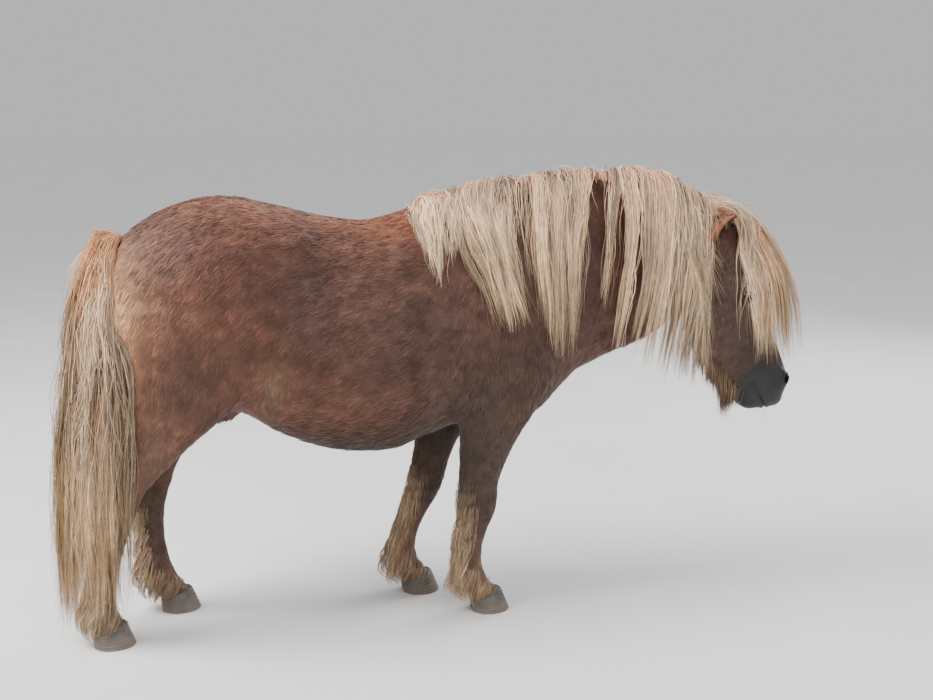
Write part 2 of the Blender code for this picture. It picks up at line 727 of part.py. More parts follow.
def tube(name, path, radii, normals, where, sides=5):
    """An open length of tube along a path, with closed ends."""
    rings = []
    for i, (point, radius, out) in enumerate(zip(path, radii, normals)):
        along = (path[min(i + 1, len(path) - 1)] - path[max(i - 1, 0)]).normalized()
        across = along.cross(out).normalized()
        up = across.cross(along).normalized()
        turns = [math.tau * k / sides for k in range(sides)]
        rings.append([point + (across * math.cos(t) + up * math.sin(t)) * radius for t in turns])
    return loft(name, rings, where)


def side_hit(tree, x, z, side):
    """Where a level line from one side meets the skin."""
    point, normal, _, _ = tree.ray_cast(Vector((x, side * 0.5, z)), Vector((0.0, -side, 0.0)))
    return point, normal


def face_axes(normal, tilt):
    """Two axes in the skin's plane, the first turned by tilt from level ahead."""
    ahead = Vector((1.0, 0.0, 0.0))
    ahead = (ahead - normal * ahead.dot(normal)).normalized()
    up = normal.cross(ahead)
    if up.z < 0:
        up = -up
    return (
        ahead * math.cos(tilt) + up * math.sin(tilt),
        up * math.cos(tilt) - ahead * math.sin(tilt),
    )


def eye_middle(tree, side):
    """The middle of an eyeball, sunk into the side of the head."""
    point, normal = side_hit(tree, *EYE_SPOT, side)
    return point - normal * EYE_SINK, normal


def lids(tree, side, where):
    """The rim of both lids, an almond round the eye."""
    middle, normal = eye_middle(tree, side)
    long_way, short_way = face_axes(normal, LID_TILT)
    count = 12
    path, radii, normals = [], [], []
    for i in range(count):
        turn = math.tau * i / count
        across = long_way * math.cos(turn) * LID_HALF[0]
        height = math.sin(turn) * abs(math.sin(turn)) ** 0.3
        flat = across + short_way * height * LID_HALF[1]
        lift = math.sqrt(max(0.0, EYE_RADIUS**2 - flat.length_squared))
        path.append(middle + flat + normal * lift)
        radii.append(LID_TUBE * (1.0 + 0.15 * math.sin(turn)))
        normals.append((path[-1] - middle).normalized())
    return tube_loop("lids", path, radii, normals, where)


def nostril(tree, side, where):
    """The raised rim of a nostril and the hollow that is cut inside it."""
    point, normal = side_hit(tree, *NOSTRIL_SPOT, side)
    long_way, short_way = face_axes(normal, NOSTRIL_TILT)
    count = 12
    path, radii, normals = [], [], []
    for i in range(count):
        turn = math.tau * i / count
        flat = short_way * math.cos(turn) * NOSTRIL_HALF[1]
        flat += long_way * math.sin(turn) * NOSTRIL_HALF[0]
        near, out, _, _ = tree.find_nearest(point + flat)
        path.append(near)
        radii.append(NOSTRIL_RIM)
        normals.append(out)
    rim = tube_loop("rim", path, radii, normals, where)
    rings = []
    for depth, share in ((0.010, 1.0), (-0.002, 0.85), (-0.012, 0.5)):
        ring = []
        for place, out in zip(path, normals):
            ring.append(point + (place - point) * share + normal * depth)
        rings.append(ring)
    hollow = loft("hollow", rings, where)
    return rim, hollow


def mouth_groove(tree, where):
    """The line between the lips, from one corner round the front to the other."""
    corner = Vector((MOUTH_CORNER[0], 0.0, MOUTH_CORNER[1]))
    front = Vector((MOUTH_FRONT[0], 0.0, MOUTH_FRONT[1]))
    count = 15
    path, normals = [], []
    for i in range(count):
        turn = math.pi * i / (count - 1)
        way = Vector((0.0, -math.cos(turn), 0.0)) + (front - corner).normalized() * math.sin(turn)
        inner = corner + (front - corner) * 0.30 * math.sin(turn)
        point, normal, _, _ = tree.ray_cast(inner + way * 0.2, -way)
        path.append(point)
        normals.append(normal)
    return tube("groove", path, [MOUTH_TUBE] * count, normals, where)


def inflated(item, by, where):
    """A copy of the mesh with its surface moved out by a little."""
    made = copy_of(item, "inflated", where)
    for vertex, normal in zip(made.data.vertices, [v.normal.copy() for v in item.data.vertices]):
        vertex.co = vertex.co + normal * by
    return made


def ear(name, side, head_item, where):
    """A cupped ear, open to the front and the side, its foot fitted to the head."""
    base = Vector((EAR_BASE.x, -side * EAR_BASE.y, EAR_BASE.z))
    tip = Vector((EAR_TIP.x, -side * EAR_TIP.y, EAR_TIP.z))
    axis = tip - base
    open_way = Vector((EAR_OPEN.x, side * EAR_OPEN.y, EAR_OPEN.z))
    open_way = (open_way - axis * open_way.dot(axis) / axis.length_squared).normalized()
    across = axis.normalized().cross(open_way).normalized()
    rows, columns = 7, 6
    points = []
    for row in range(rows):
        t = row / (rows - 1)
        width = EAR_HALF * (math.sin(math.pi * (0.30 + 0.66 * t)) ** 0.75 if t < 1 else 0.0)
        width = max(width, 0.0022)
        cup = mix(*EAR_CUP, t)
        for column in range(columns):
            turn = (column / (columns - 1) - 0.5) * math.radians(mix(*EAR_TURN, t))
            off = across * math.sin(turn) * width - open_way * math.cos(turn) * width * cup
            points.append(base + axis * t + off + open_way * 0.006 * t * t)
    faces = []
    for row in range(rows - 1):
        for column in range(columns - 1):
            a = row * columns + column
            faces.append((a, a + 1, a + columns + 1, a + columns))
    made = mesh_object(name, points, faces, where)
    wall = made.modifiers.new("wall", "SOLIDIFY")
    wall.thickness = EAR_WALL
    wall.offset = 0.0
    apply_modifiers(made)
    foot = ball("foot", base - axis * 0.05, EAR_FOOT, where, segments=14)
    combine(made, [foot], "UNION")
    return combine(made, [inflated(head_item, GAP, where)], "DIFFERENCE")


def mix(low, high, share):
    return low + (high - low) * share


def fall(tree, root, heading, tip, lift, count):
    """The path of a lock that leaves its root along heading and falls to its tip, off the skin.

    Gives the points and the way out of the skin at each. The path is a cubic curve whose points
    are moved out until they clear the skin by lift, with the root left in the skin.
    """
    ends = (root, root + heading, tip + Vector((0.0, 0.0, 0.55 * max(0.02, root.z - tip.z))), tip)
    path, outs = [], []
    for i in range(count + 1):
        t = i / count
        shares = ((1 - t) ** 3, 3 * t * (1 - t) ** 2, 3 * t * t * (1 - t), t**3)
        point = Vector((0.0, 0.0, 0.0))
        for share, end in zip(shares, ends):
            point += end * share
        near, normal, _, _ = tree.find_nearest(point)
        clear = lift if i > 0 else -lift
        if (point - near).dot(normal) < clear or i == 0:
            point = near + normal * clear
        path.append(point)
        outs.append(normal)
    for i in range(len(path)):
        along = path[min(i + 1, count)] - path[max(i - 1, 0)]
        flat = outs[i] - along * outs[i].dot(along) / along.length_squared
        if flat.length < 0.4 and i > 0:
            flat = outs[i - 1] - along * outs[i - 1].dot(along) / along.length_squared
        outs[i] = flat.normalized()
    return path, outs


def lock(path, outs, width, depth, where):
    """A flat lock with four sides, widest a third of the way down and tapered to its tip."""
    rings = []
    last = len(path) - 1
    for i, (point, out) in enumerate(zip(path, outs)):
        t = i / last
        share = 0.80 + 0.20 * math.sin(math.pi * min(1.0, 0.15 + 1.1 * t))
        share *= min(1.0, 1.25 * (1.0 - t) ** 0.7 + 0.06)
        along = (path[min(i + 1, last)] - path[max(i - 1, 0)]).normalized()
        across = along.cross(out).normalized() * width / 2 * share
        up = across.cross(along).normalized() * depth / 2 * min(1.0, share + 0.15)
        rings.append((point + across, point + up, point - across, point - up))
    return loft("lock", rings, where)


def mane(tree, rng, where):
    """The locks of the mane, on the right side in long groups and on the left in shorter ones."""
    locks = []
    for side, rows in ((-1, MANE_RIGHT), (1, MANE_LEFT)):
        for root_0, root_1, tip_0, tip_1, low_0, low_1, count in rows:
            for i in range(count):
                share = (i + 0.5) / count
                x = mix(root_0, root_1, share + rng.uniform(-0.3, 0.3) / count)
                top, _, _, _ = tree.ray_cast(Vector((x, -side * 0.010, 2.0)), Vector((0, 0, -1)))
                tip_x = mix(tip_0, tip_1, share) + rng.uniform(-0.01, 0.01)
                fall_y = mix(MANE_FALL[1], MANE_FALL[0], min(1, (x - 0.3) / 0.6))
                tip = Vector((
                    tip_x,
                    side * (fall_y + rng.uniform(0, 0.02)),
                    mix(low_0, low_1, share) + rng.uniform(-0.012, 0.03) * (i % 2 + 1),
                ))
                heading = Vector((0.0, side * 0.080, 0.052))
                path, outs = fall(tree, top, heading, tip, 0.008 + 0.005 * (i % 2), 5)
                width = MANE_LOCK[0] * rng.uniform(0.85, 1.15)
                locks.append(lock(path, outs, width, MANE_LOCK[1], where))
    return locks


def forelock(tree, rng, where):
    """The locks that fall from between the ears over the face."""
    locks = []
    for i in range(FORELOCK_COUNT):
        share = (i + 0.5) / FORELOCK_COUNT
        layer = i % 2
        y = mix(FORELOCK_ROOTS[0][1], FORELOCK_ROOTS[1][1], share)
        x = mix(FORELOCK_ROOTS[0][0], FORELOCK_ROOTS[1][0], layer * 0.6)
        top, _, _, _ = tree.ray_cast(Vector((x, y, 2.0)), Vector((0, 0, -1)))
        bow = math.sin(math.pi * (0.12 + 0.88 * share))
        tip = Vector((
            mix(FORELOCK_TIPS[0][0], FORELOCK_TIPS[1][0], bow) - 0.030 * layer,
            mix(FORELOCK_TIPS[0][1], FORELOCK_TIPS[1][1], share),
            mix(*FORELOCK_LOW, rng.uniform(0, 1)),
        ))
        heading = Vector((0.085 - 0.020 * layer, y * 1.2, 0.045 - 0.030 * layer))
        path, outs = fall(tree, top, heading, tip, 0.007 + 0.006 * layer, 5)
        locks.append(lock(path, outs, FORELOCK_LOCK[0], FORELOCK_LOCK[1], where))
    return locks


def beard(tree, rng, where):
    """Short locks under the chin and the jaw."""
    locks = []
    for i in range(BEARD_COUNT):
        share = i / (BEARD_COUNT - 1)
        side = -1 if i % 2 else 1
        x = mix(BEARD_ROOTS[0][0], BEARD_ROOTS[1][0], share)
        y = side * mix(BEARD_ROOTS[0][1], BEARD_ROOTS[1][1], share)
        low, _, _, _ = tree.ray_cast(Vector((x, y, 0.2)), Vector((0, 0, 1)))
        tip = low + Vector((0.006 - 0.02 * share, side * 0.004, -BEARD_DROP * rng.uniform(0.8, 1.1)))
        path, outs = fall(tree, low, Vector((0.0, 0.0, -0.015)), tip, 0.004, 3)
        outs = [Vector((0.0, side, 0.0))] * len(path)
        locks.append(lock(path, outs, BEARD_LOCK[0], BEARD_LOCK[1], where))
    return locks


def feather(tree, rows, side, rng, where):
    """Locks round the back of a cannon and fetlock, lying down and back."""
    locks = []
    table = np.array(rows)[::-1]
    for height, drop, count in zip(FEATHER_HEIGHTS, FEATHER_DROP, FEATHER_COUNT):
        x = float(np.interp(height, table[:, 2], table[:, 0]))
        y = side * float(np.interp(height, table[:, 2], table[:, 1]))
        for i in range(count):
            turn = math.pi + FEATHER_SPREAD * (2 * (i + 0.5) / count - 1) + rng.uniform(-0.1, 0.1)
            way = Vector((math.cos(turn), math.sin(turn), 0.0))
            middle = Vector((x, y, height + rng.uniform(-0.006, 0.006)))
            root, _, _, _ = tree.ray_cast(middle + way * 0.2, -way)
            back = Vector((-1.0, 0.0, 0.0))
            low = max(FLOOR_CLEAR, height - drop * rng.uniform(0.85, 1.1))
            tip = Vector((root.x, root.y, low)) + back * 0.016 + way * 0.004
            path, outs = fall(tree, root, way * 0.006 - Vector((0, 0, 0.02)), tip, 0.005, 3)
            locks.append(lock(path, outs, FEATHER_LOCK[0], FEATHER_LOCK[1], where))
    return locks


def tail_core(where):
    """The dock and the hair held close round it, no further than half way to the tips."""
    rings = []
    rows = spline_rows(DOCK, 2)
    for i, (x, y, z, radius) in enumerate(rows):
        along = Vector(rows[min(i + 1, len(rows) - 1)][:3] - rows[max(i - 1, 0)][:3]).normalized()
        across = Vector((0.0, 1.0, 0.0))
        back = along.cross(across).normalized()
        turns = [math.tau * k / DOCK_SIDES for k in range(DOCK_SIDES)]
        middle = Vector((x, y, z))
        rings.append([middle + (across * math.sin(t) + back * math.cos(t)) * radius for t in turns])
    core = loft("dock", rings, where)
    middle, to_trunk = cut_frame(TAIL_CUT)
    cut(core, middle - to_trunk * GAP / 2, to_trunk)
    return core


def tail_locks(tree, rng, where):
    """Long locks from round the dock, that lie over the back of the thigh and hang to the ground."""
    locks = []
    dock, ground = spline_rows(DOCK, 4), spline_rows(TAIL_TIPS, 8)
    for i in range(TAIL_COUNT):
        layer = i % 2
        share = (i + 0.5) / TAIL_COUNT
        x, y = ground[int(share * (len(ground) - 1))]
        turn = mix(math.radians(-60), math.radians(-250), share)
        out = Vector((math.cos(turn), math.sin(turn), 0.0))
        row = dock[int(rng.uniform(0.17, 0.42) * (len(dock) - 1))]
        root = Vector(row[:3]) + out * row[3] * 0.6
        low = mix(*TAIL_LOW, rng.uniform(0, 1) ** 1.5)
        tip = Vector((x, y, low)) - out * 0.016 * layer
        heading = Vector((-0.030, 0.0, -0.060)) + out * 0.020
        path, outs = hang(tree, root, heading, tip, 0.009, 6, out)
        locks.append(lock(path, outs, TAIL_LOCK[0], TAIL_LOCK[1], where))
    return locks


def hang(tree, root, heading, tip, lift, count, out):
    """As fall, for a lock that starts on the dock, with one way out all along."""
    path, _ = fall(tree, root, heading, tip, lift, count)
    path[0] = root
    outs = []
    for i in range(len(path)):
        along = (path[min(i + 1, count)] - path[max(i - 1, 0)]).normalized()
        outs.append((out - along * out.dot(along)).normalized())
    return path, outs


def smooth_shade(item):
    item.data.shade_smooth()
    item.data.set_sharp_from_angle(angle=math.radians(50))


def place(item, name, slot, materials):
    """Moves the piece to the object's frame and gives it its name and material."""
    for vertex in item.data.vertices:
        vertex.co = vertex.co + SHIFT
    item.name = name
    item.data.materials.clear()
    item.data.materials.append(materials[slot])
    smooth_shade(item)


def main():
    clear_scene()
    pony = collection("shetland_pony")
    materials = {name: material(name) for name in COLOURS}
    skin = flesh_skin(pony)
    tree = bvh_of(skin)

    neck_middle, ahead = cut_frame(NECK_CUT)
    head_middle, head_way = cut_frame(HEAD_CUT)
    torso_item = torso(skin, pony)
    neck = flesh_part(
        skin, "neck", [(neck_middle, -ahead), (head_middle, head_way)], BUDGET["neck"], pony
    )
    head = flesh_part(skin, "head", [(head_middle, -head_way)], BUDGET["head"], pony)
    place_later = [(torso_item, "torso", "coat"), (neck, "neck", "coat")]

    plain_head = copy_of(head, "plain_head", pony)
    additions, hollows = [], [mouth_groove(tree, pony)]
    for side in (-1, 1):
        additions.append(lids(tree, side, pony))
        rim, hollow = nostril(tree, side, pony)
        additions.append(rim)
        hollows.append(hollow)
        middle, _ = eye_middle(tree, side)
        hollows.append(ball("socket", middle, [EYE_RADIUS + GAP] * 3, pony, segments=EYE_SIDES))
    combine(head, additions, "UNION")
    combine(head, hollows, "DIFFERENCE")
    place_later.append((head, "head", "coat"))
    for side, word in ((-1, "right"), (1, "left")):
        middle, _ = eye_middle(tree, side)
        eye = ball("eye", middle, [EYE_RADIUS] * 3, pony, segments=EYE_SIDES)
        place_later.append((eye, "eye_" + word, "eye"))
        place_later.append((ear("ear", side, plain_head, pony), "ear_" + word, "coat"))
    rng = np.random.default_rng(SEED)
    ears = [item for item, name, _ in place_later if name.startswith("ear")]
    grow(head, forelock(tree, rng, pony) + beard(tree, rng, pony), ears + [neck], pony)
    grow(neck, mane(tree, rng, pony), [plain_head, torso_item] + ears, pony)
    bpy.data.objects.remove(plain_head)

    legs = (
        ("fore_leg_right", FORE_RIGHT, -1, FORE_CUT, FORE_BOX),
        ("fore_leg_left", FORE_LEFT, 1, FORE_CUT, FORE_BOX),
        ("hind_leg_right", HIND_RIGHT, -1, HIND_CUT, HIND_BOX),
        ("hind_leg_left", HIND_LEFT, 1, HIND_CUT, HIND_BOX),
    )
    for name, rows, side, height, span in legs:
        made = leg(skin, name, rows, side, height, span, pony)
        horn_name = name.replace("leg", "hoof")
        horn = hoof(horn_name, rows, side, pony)
        grow(made, feather(tree, rows, side, rng, pony), [horn], pony)
        place_later.append((made, name, "coat"))
        place_later.append((horn, horn_name, "horn"))

    around = [item for item, name, _ in place_later if name.startswith(("torso", "hind"))]
    shell = join("shell", [copy_of(item, "shell", pony) for item in around], pony)
    tail = tail_core(pony)
    combine(tail, [inflated(torso_item, GAP, pony)], "DIFFERENCE")
    grow(tail, tail_locks(bvh_of(shell), rng, pony), around, pony)
    place_later.append((tail, "tail", "hair"))

    bpy.data.objects.remove(shell)
    bpy.data.objects.remove(skin)
    for item, name, slot in place_later:
        place(item, name, slot, materials)


main()
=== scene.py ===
"""The looks of a standing Shetland pony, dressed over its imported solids.

Everything is made in the stance frame of the solids, whose origin is on the floor between the four
hooves, and moved to the object's frame as each mesh is made. Metres, +Z up, the nose towards +X,
the pony's right side towards -Y.
"""

import math

import bmesh
import bpy
import numpy as np
from mathutils import Matrix, Vector
from mathutils.bvhtree import BVHTree
from mathutils.kdtree import KDTree
from mathutils.noise import fractal


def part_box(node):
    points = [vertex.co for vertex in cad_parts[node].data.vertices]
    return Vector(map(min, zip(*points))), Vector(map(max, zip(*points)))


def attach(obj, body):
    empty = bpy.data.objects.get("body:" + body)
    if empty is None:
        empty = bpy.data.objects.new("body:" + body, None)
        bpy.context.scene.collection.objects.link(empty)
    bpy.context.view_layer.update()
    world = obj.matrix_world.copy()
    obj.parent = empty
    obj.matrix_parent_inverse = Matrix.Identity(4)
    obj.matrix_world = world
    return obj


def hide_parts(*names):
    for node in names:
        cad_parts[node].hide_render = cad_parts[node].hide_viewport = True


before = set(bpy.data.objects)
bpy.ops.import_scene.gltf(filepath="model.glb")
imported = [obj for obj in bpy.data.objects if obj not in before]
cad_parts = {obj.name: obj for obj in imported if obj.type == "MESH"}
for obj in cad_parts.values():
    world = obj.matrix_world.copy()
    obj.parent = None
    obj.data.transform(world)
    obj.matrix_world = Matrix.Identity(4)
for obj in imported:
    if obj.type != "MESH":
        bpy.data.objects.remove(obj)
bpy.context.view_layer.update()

# Driving dimensions, in metres
CENTRE_X = 0.350
SHIFT = np.array((-CENTRE_X, 0.0, 0.0))
VOXEL = 0.0062

# How deep inside the skin a point of hair may be found and moved out
REACH_IN = 0.05
FLOOR_CLEAR = 0.006
UP = np.array((0.0, 0.0, 1.0))

# Trunk and neck, from the buttocks to the poll. Each row is the top and the bottom of one section
# in the XZ plane, its half width, the height of its widest place as a share of its height, and the
# fullness of its upper and of its lower half (2 is an ellipse, more is squarer, less is narrower).
TRUNK = (
    (-0.414, 0.850, -0.414, 0.700, 0.075, 0.50, 2.0, 2.0),
    (-0.398, 0.900, -0.398, 0.620, 0.140, 0.50, 2.0, 2.0),
    (-0.360, 0.940, -0.360, 0.555, 0.182, 0.50, 2.1, 2.0),
    (-0.290, 0.982, -0.280, 0.525, 0.208, 0.50, 2.2, 2.0),
    (-0.200, 1.009, -0.200, 0.512, 0.220, 0.50, 2.3, 2.0),
    (-0.115, 1.008, -0.125, 0.505, 0.222, 0.48, 2.3, 2.0),
    (-0.025, 0.987, -0.040, 0.454, 0.226, 0.46, 2.2, 2.1),
    (0.066, 0.964, 0.055, 0.417, 0.238, 0.44, 2.1, 2.2),
    (0.160, 0.952, 0.150, 0.402, 0.243, 0.43, 2.1, 2.2),
    (0.230, 0.964, 0.230, 0.407, 0.238, 0.43, 2.0, 2.2),
    (0.300, 0.986, 0.300, 0.430, 0.222, 0.43, 1.9, 2.1),
    (0.370, 0.999, 0.380, 0.452, 0.203, 0.42, 1.8, 2.1),
    (0.440, 1.007, 0.470, 0.452, 0.188, 0.40, 1.7, 2.1),
    (0.510, 1.016, 0.555, 0.462, 0.163, 0.40, 1.7, 2.1),
    (0.590, 1.026, 0.620, 0.512, 0.134, 0.40, 1.7, 2.1),
    (0.670, 1.035, 0.690, 0.572, 0.112, 0.40, 1.7, 2.1),
    (0.760, 1.040, 0.770, 0.607, 0.098, 0.42, 1.7, 2.1),
    (0.850, 1.030, 0.850, 0.635, 0.089, 0.45, 1.8, 2.0),
    (0.925, 1.000, 0.905, 0.665, 0.082, 0.50, 1.9, 2.0),
    (0.990, 0.970, 0.945, 0.700, 0.076, 0.55, 2.0, 2.0),
    (1.040, 0.945, 0.985, 0.750, 0.068, 0.60, 2.0, 2.0),
)

# Head, from the poll to the lips, in rows of the same kind
HEAD = (
    (1.015, 0.955, 0.955, 0.735, 0.066, 0.60, 2.2, 2.0),
    (1.072, 0.938, 0.965, 0.705, 0.075, 0.62, 2.3, 2.0),
    (1.115, 0.900, 0.972, 0.675, 0.086, 0.66, 2.5, 2.0),
    (1.140, 0.850, 0.984, 0.648, 0.094, 0.70, 2.6, 2.0),
    (1.158, 0.795, 0.998, 0.620, 0.093, 0.70, 2.5, 2.0),
    (1.173, 0.745, 1.010, 0.592, 0.082, 0.66, 2.3, 2.0),
    (1.190, 0.700, 1.024, 0.566, 0.068, 0.60, 2.1, 2.0),
    (1.208, 0.655, 1.044, 0.544, 0.058, 0.55, 2.1, 2.1),
    (1.226, 0.612, 1.066, 0.526, 0.051, 0.52, 2.1, 2.1),
    (1.242, 0.572, 1.088, 0.507, 0.049, 0.52, 2.1, 2.2),
    (1.255, 0.538, 1.106, 0.487, 0.051, 0.52, 2.2, 2.2),
    (1.256, 0.512, 1.127, 0.467, 0.050, 0.52, 2.2, 2.2),
    (1.241, 0.484, 1.152, 0.453, 0.046, 0.52, 2.2, 2.2),
    (1.220, 0.465, 1.178, 0.449, 0.036, 0.50, 2.0, 2.0),
)

# Legs, from inside the trunk to inside the hoof. Each row is the middle of one level section
# (x, distance from the midline, z), its half length along X and its half width.
FORE_RIGHT = (
    (0.385, 0.095, 0.860, 0.085, 0.050),
    (0.430, 0.110, 0.740, 0.125, 0.068),
    (0.470, 0.118, 0.620, 0.125, 0.072),
    (0.475, 0.117, 0.560, 0.112, 0.070),
    (0.462, 0.112, 0.500, 0.094, 0.060),
    (0.448, 0.105, 0.450, 0.078, 0.052),
    (0.435, 0.098, 0.395, 0.064, 0.045),
    (0.424, 0.092, 0.335, 0.053, 0.039),
    (0.421, 0.088, 0.285, 0.050, 0.038),
    (0.420, 0.087, 0.250, 0.047, 0.037),
    (0.411, 0.085, 0.210, 0.039, 0.031),
    (0.404, 0.083, 0.165, 0.033, 0.027),
    (0.400, 0.082, 0.125, 0.035, 0.029),
    (0.404, 0.081, 0.095, 0.039, 0.033),
    (0.422, 0.080, 0.066, 0.035, 0.032),
    (0.439, 0.079, 0.042, 0.040, 0.037),
    (0.446, 0.079, 0.015, 0.036, 0.033),
)
FORE_LEFT = (
    (0.385, 0.095, 0.860, 0.085, 0.050),
    (0.425, 0.110, 0.740, 0.125, 0.068),
    (0.455, 0.118, 0.620, 0.125, 0.072),
    (0.450, 0.117, 0.560, 0.112, 0.070),
    (0.425, 0.112, 0.500, 0.094, 0.060),
    (0.392, 0.105, 0.450, 0.077, 0.052),
    (0.362, 0.099, 0.395, 0.060, 0.045),
    (0.343, 0.094, 0.340, 0.051, 0.039),
    (0.331, 0.092, 0.290, 0.049, 0.038),
    (0.319, 0.091, 0.255, 0.047, 0.037),
    (0.300, 0.090, 0.212, 0.039, 0.031),
    (0.281, 0.088, 0.167, 0.034, 0.027),
    (0.269, 0.087, 0.127, 0.035, 0.029),
    (0.267, 0.086, 0.097, 0.039, 0.033),
    (0.282, 0.085, 0.067, 0.035, 0.032),
    (0.298, 0.085, 0.042, 0.040, 0.037),
    (0.304, 0.085, 0.015, 0.036, 0.033),
)
HIND_RIGHT = (
    (-0.200, 0.110, 0.900, 0.120, 0.060),
    (-0.225, 0.138, 0.780, 0.175, 0.078),
    (-0.235, 0.142, 0.680, 0.172, 0.080),
    (-0.258, 0.138, 0.590, 0.142, 0.074),
    (-0.287, 0.130, 0.520, 0.110, 0.063),
    (-0.326, 0.122, 0.460, 0.080, 0.052),
    (-0.364, 0.115, 0.405, 0.062, 0.042),
    (-0.400, 0.108, 0.358, 0.055, 0.034),
    (-0.419, 0.104, 0.320, 0.055, 0.034),
    (-0.425, 0.103, 0.285, 0.049, 0.033),
    (-0.432, 0.102, 0.240, 0.038, 0.029),
    (-0.443, 0.101, 0.185, 0.033, 0.027),
    (-0.455, 0.100, 0.135, 0.035, 0.029),
    (-0.463, 0.100, 0.100, 0.040, 0.033),
    (-0.454, 0.100, 0.068, 0.036, 0.032),
    (-0.448, 0.101, 0.042, 0.040, 0.038),
    (-0.446, 0.101, 0.015, 0.036, 0.034),
)
HIND_LEFT = (
    (-0.190, 0.110, 0.900, 0.120, 0.060),
    (-0.205, 0.138, 0.780, 0.175, 0.078),
    (-0.210, 0.142, 0.680, 0.170, 0.080),
    (-0.225, 0.136, 0.590, 0.140, 0.074),
    (-0.247, 0.128, 0.520, 0.108, 0.063),
    (-0.279, 0.119, 0.460, 0.078, 0.052),
    (-0.308, 0.111, 0.405, 0.060, 0.042),
    (-0.331, 0.104, 0.357, 0.054, 0.034),
    (-0.345, 0.100, 0.320, 0.055, 0.034),
    (-0.350, 0.098, 0.285, 0.048, 0.033),
    (-0.349, 0.097, 0.240, 0.039, 0.029),
    (-0.345, 0.096, 0.185, 0.034, 0.027),
    (-0.338, 0.095, 0.135, 0.035, 0.029),
    (-0.332, 0.094, 0.100, 0.040, 0.033),
    (-0.312, 0.094, 0.068, 0.036, 0.032),
    (-0.297, 0.094, 0.043, 0.040, 0.038),
    (-0.290, 0.094, 0.015, 0.036, 0.034),
)
LEGS = (
    ("fore_right", FORE_RIGHT, -1),
    ("fore_left", FORE_LEFT, 1),
    ("hind_right", HIND_RIGHT, -1),
    ("hind_left", HIND_LEFT, 1),
)

# The fleshy dock inside the tail: middle and radius of each round section
DOCK = (
    (-0.360, 0.000, 0.905, 0.020),
    (-0.395, 0.000, 0.900, 0.021),
    (-0.420, -0.001, 0.888, 0.020),
    (-0.436, -0.004, 0.830, 0.018),
    (-0.442, -0.010, 0.740, 0.015),
    (-0.448, -0.016, 0.650, 0.011),
    (-0.452, -0.020, 0.590, 0.006),
)

# Bony and fleshy masses that the lofts leave out: middle, half sizes. Each is made on both sides.
MASSES = {
    "brow": ((1.105, 0.072, 0.772), (0.030, 0.024, 0.030)),
    "cheek": ((1.043, 0.056, 0.692), (0.060, 0.030, 0.068)),
    "nostril": ((1.226, 0.033, 0.529), (0.023, 0.018, 0.028)),
    "upper_lip": ((1.204, 0.016, 0.482), (0.036, 0.030, 0.030)),
    "lower_lip": ((1.155, 0.010, 0.469), (0.032, 0.026, 0.022)),
    "dock": ((-0.405, 0.003, 0.897), (0.044, 0.024, 0.030)),
    "sheath": ((-0.175, 0.006, 0.515), (0.055, 0.024, 0.030)),
}

# Relief of the skin: middle, reach along each axis, and rise (a hollow is negative)
RELIEF = (
    # flank, hip, loin, stifle, thigh and buttock
    ((-0.020, 0.215, 0.790), (0.060, 0.080, 0.090), -0.014),
    ((0.000, 0.170, 0.915), (0.040, 0.060, 0.030), 0.010),
    ((0.060, 0.070, 0.960), (0.120, 0.040, 0.030), 0.004),
    ((-0.130, 0.180, 0.570), (0.045, 0.060, 0.060), 0.008),
    ((-0.095, 0.190, 0.590), (0.022, 0.060, 0.090), -0.010),
    ((-0.330, 0.190, 0.680), (0.018, 0.060, 0.130), -0.007),
    ((-0.385, 0.110, 0.790), (0.050, 0.060, 0.070), 0.006),
    # elbow, shoulder, breast and neck
    ((0.330, 0.200, 0.520), (0.030, 0.060, 0.050), -0.010),
    ((0.395, 0.180, 0.610), (0.055, 0.060, 0.060), 0.008),
    ((0.565, 0.120, 0.600), (0.040, 0.060, 0.050), 0.008),
    ((0.400, 0.150, 0.800), (0.022, 0.060, 0.130), 0.006),
    ((0.300, 0.200, 0.740), (0.035, 0.060, 0.140), -0.008),
    ((0.600, 0.000, 0.520), (0.050, 0.014, 0.050), -0.010),
    ((0.780, 0.090, 0.690), (0.140, 0.050, 0.022), -0.008),
    # temple, face crest, side of the nose, dish, jaw, chin and throat
    ((1.098, 0.075, 0.835), (0.022, 0.030, 0.022), -0.006),
    ((1.120, 0.075, 0.680), (0.014, 0.040, 0.050), 0.005),
    ((1.178, 0.050, 0.640), (0.030, 0.030, 0.050), -0.006),
    ((1.205, 0.000, 0.670), (0.020, 0.030, 0.060), -0.004),
    ((1.010, 0.000, 0.600), (0.045, 0.022, 0.050), -0.020),
    ((1.098, 0.000, 0.500), (0.014, 0.050, 0.012), -0.006),
    ((0.950, 0.060, 0.740), (0.022, 0.060, 0.070), -0.008),
)

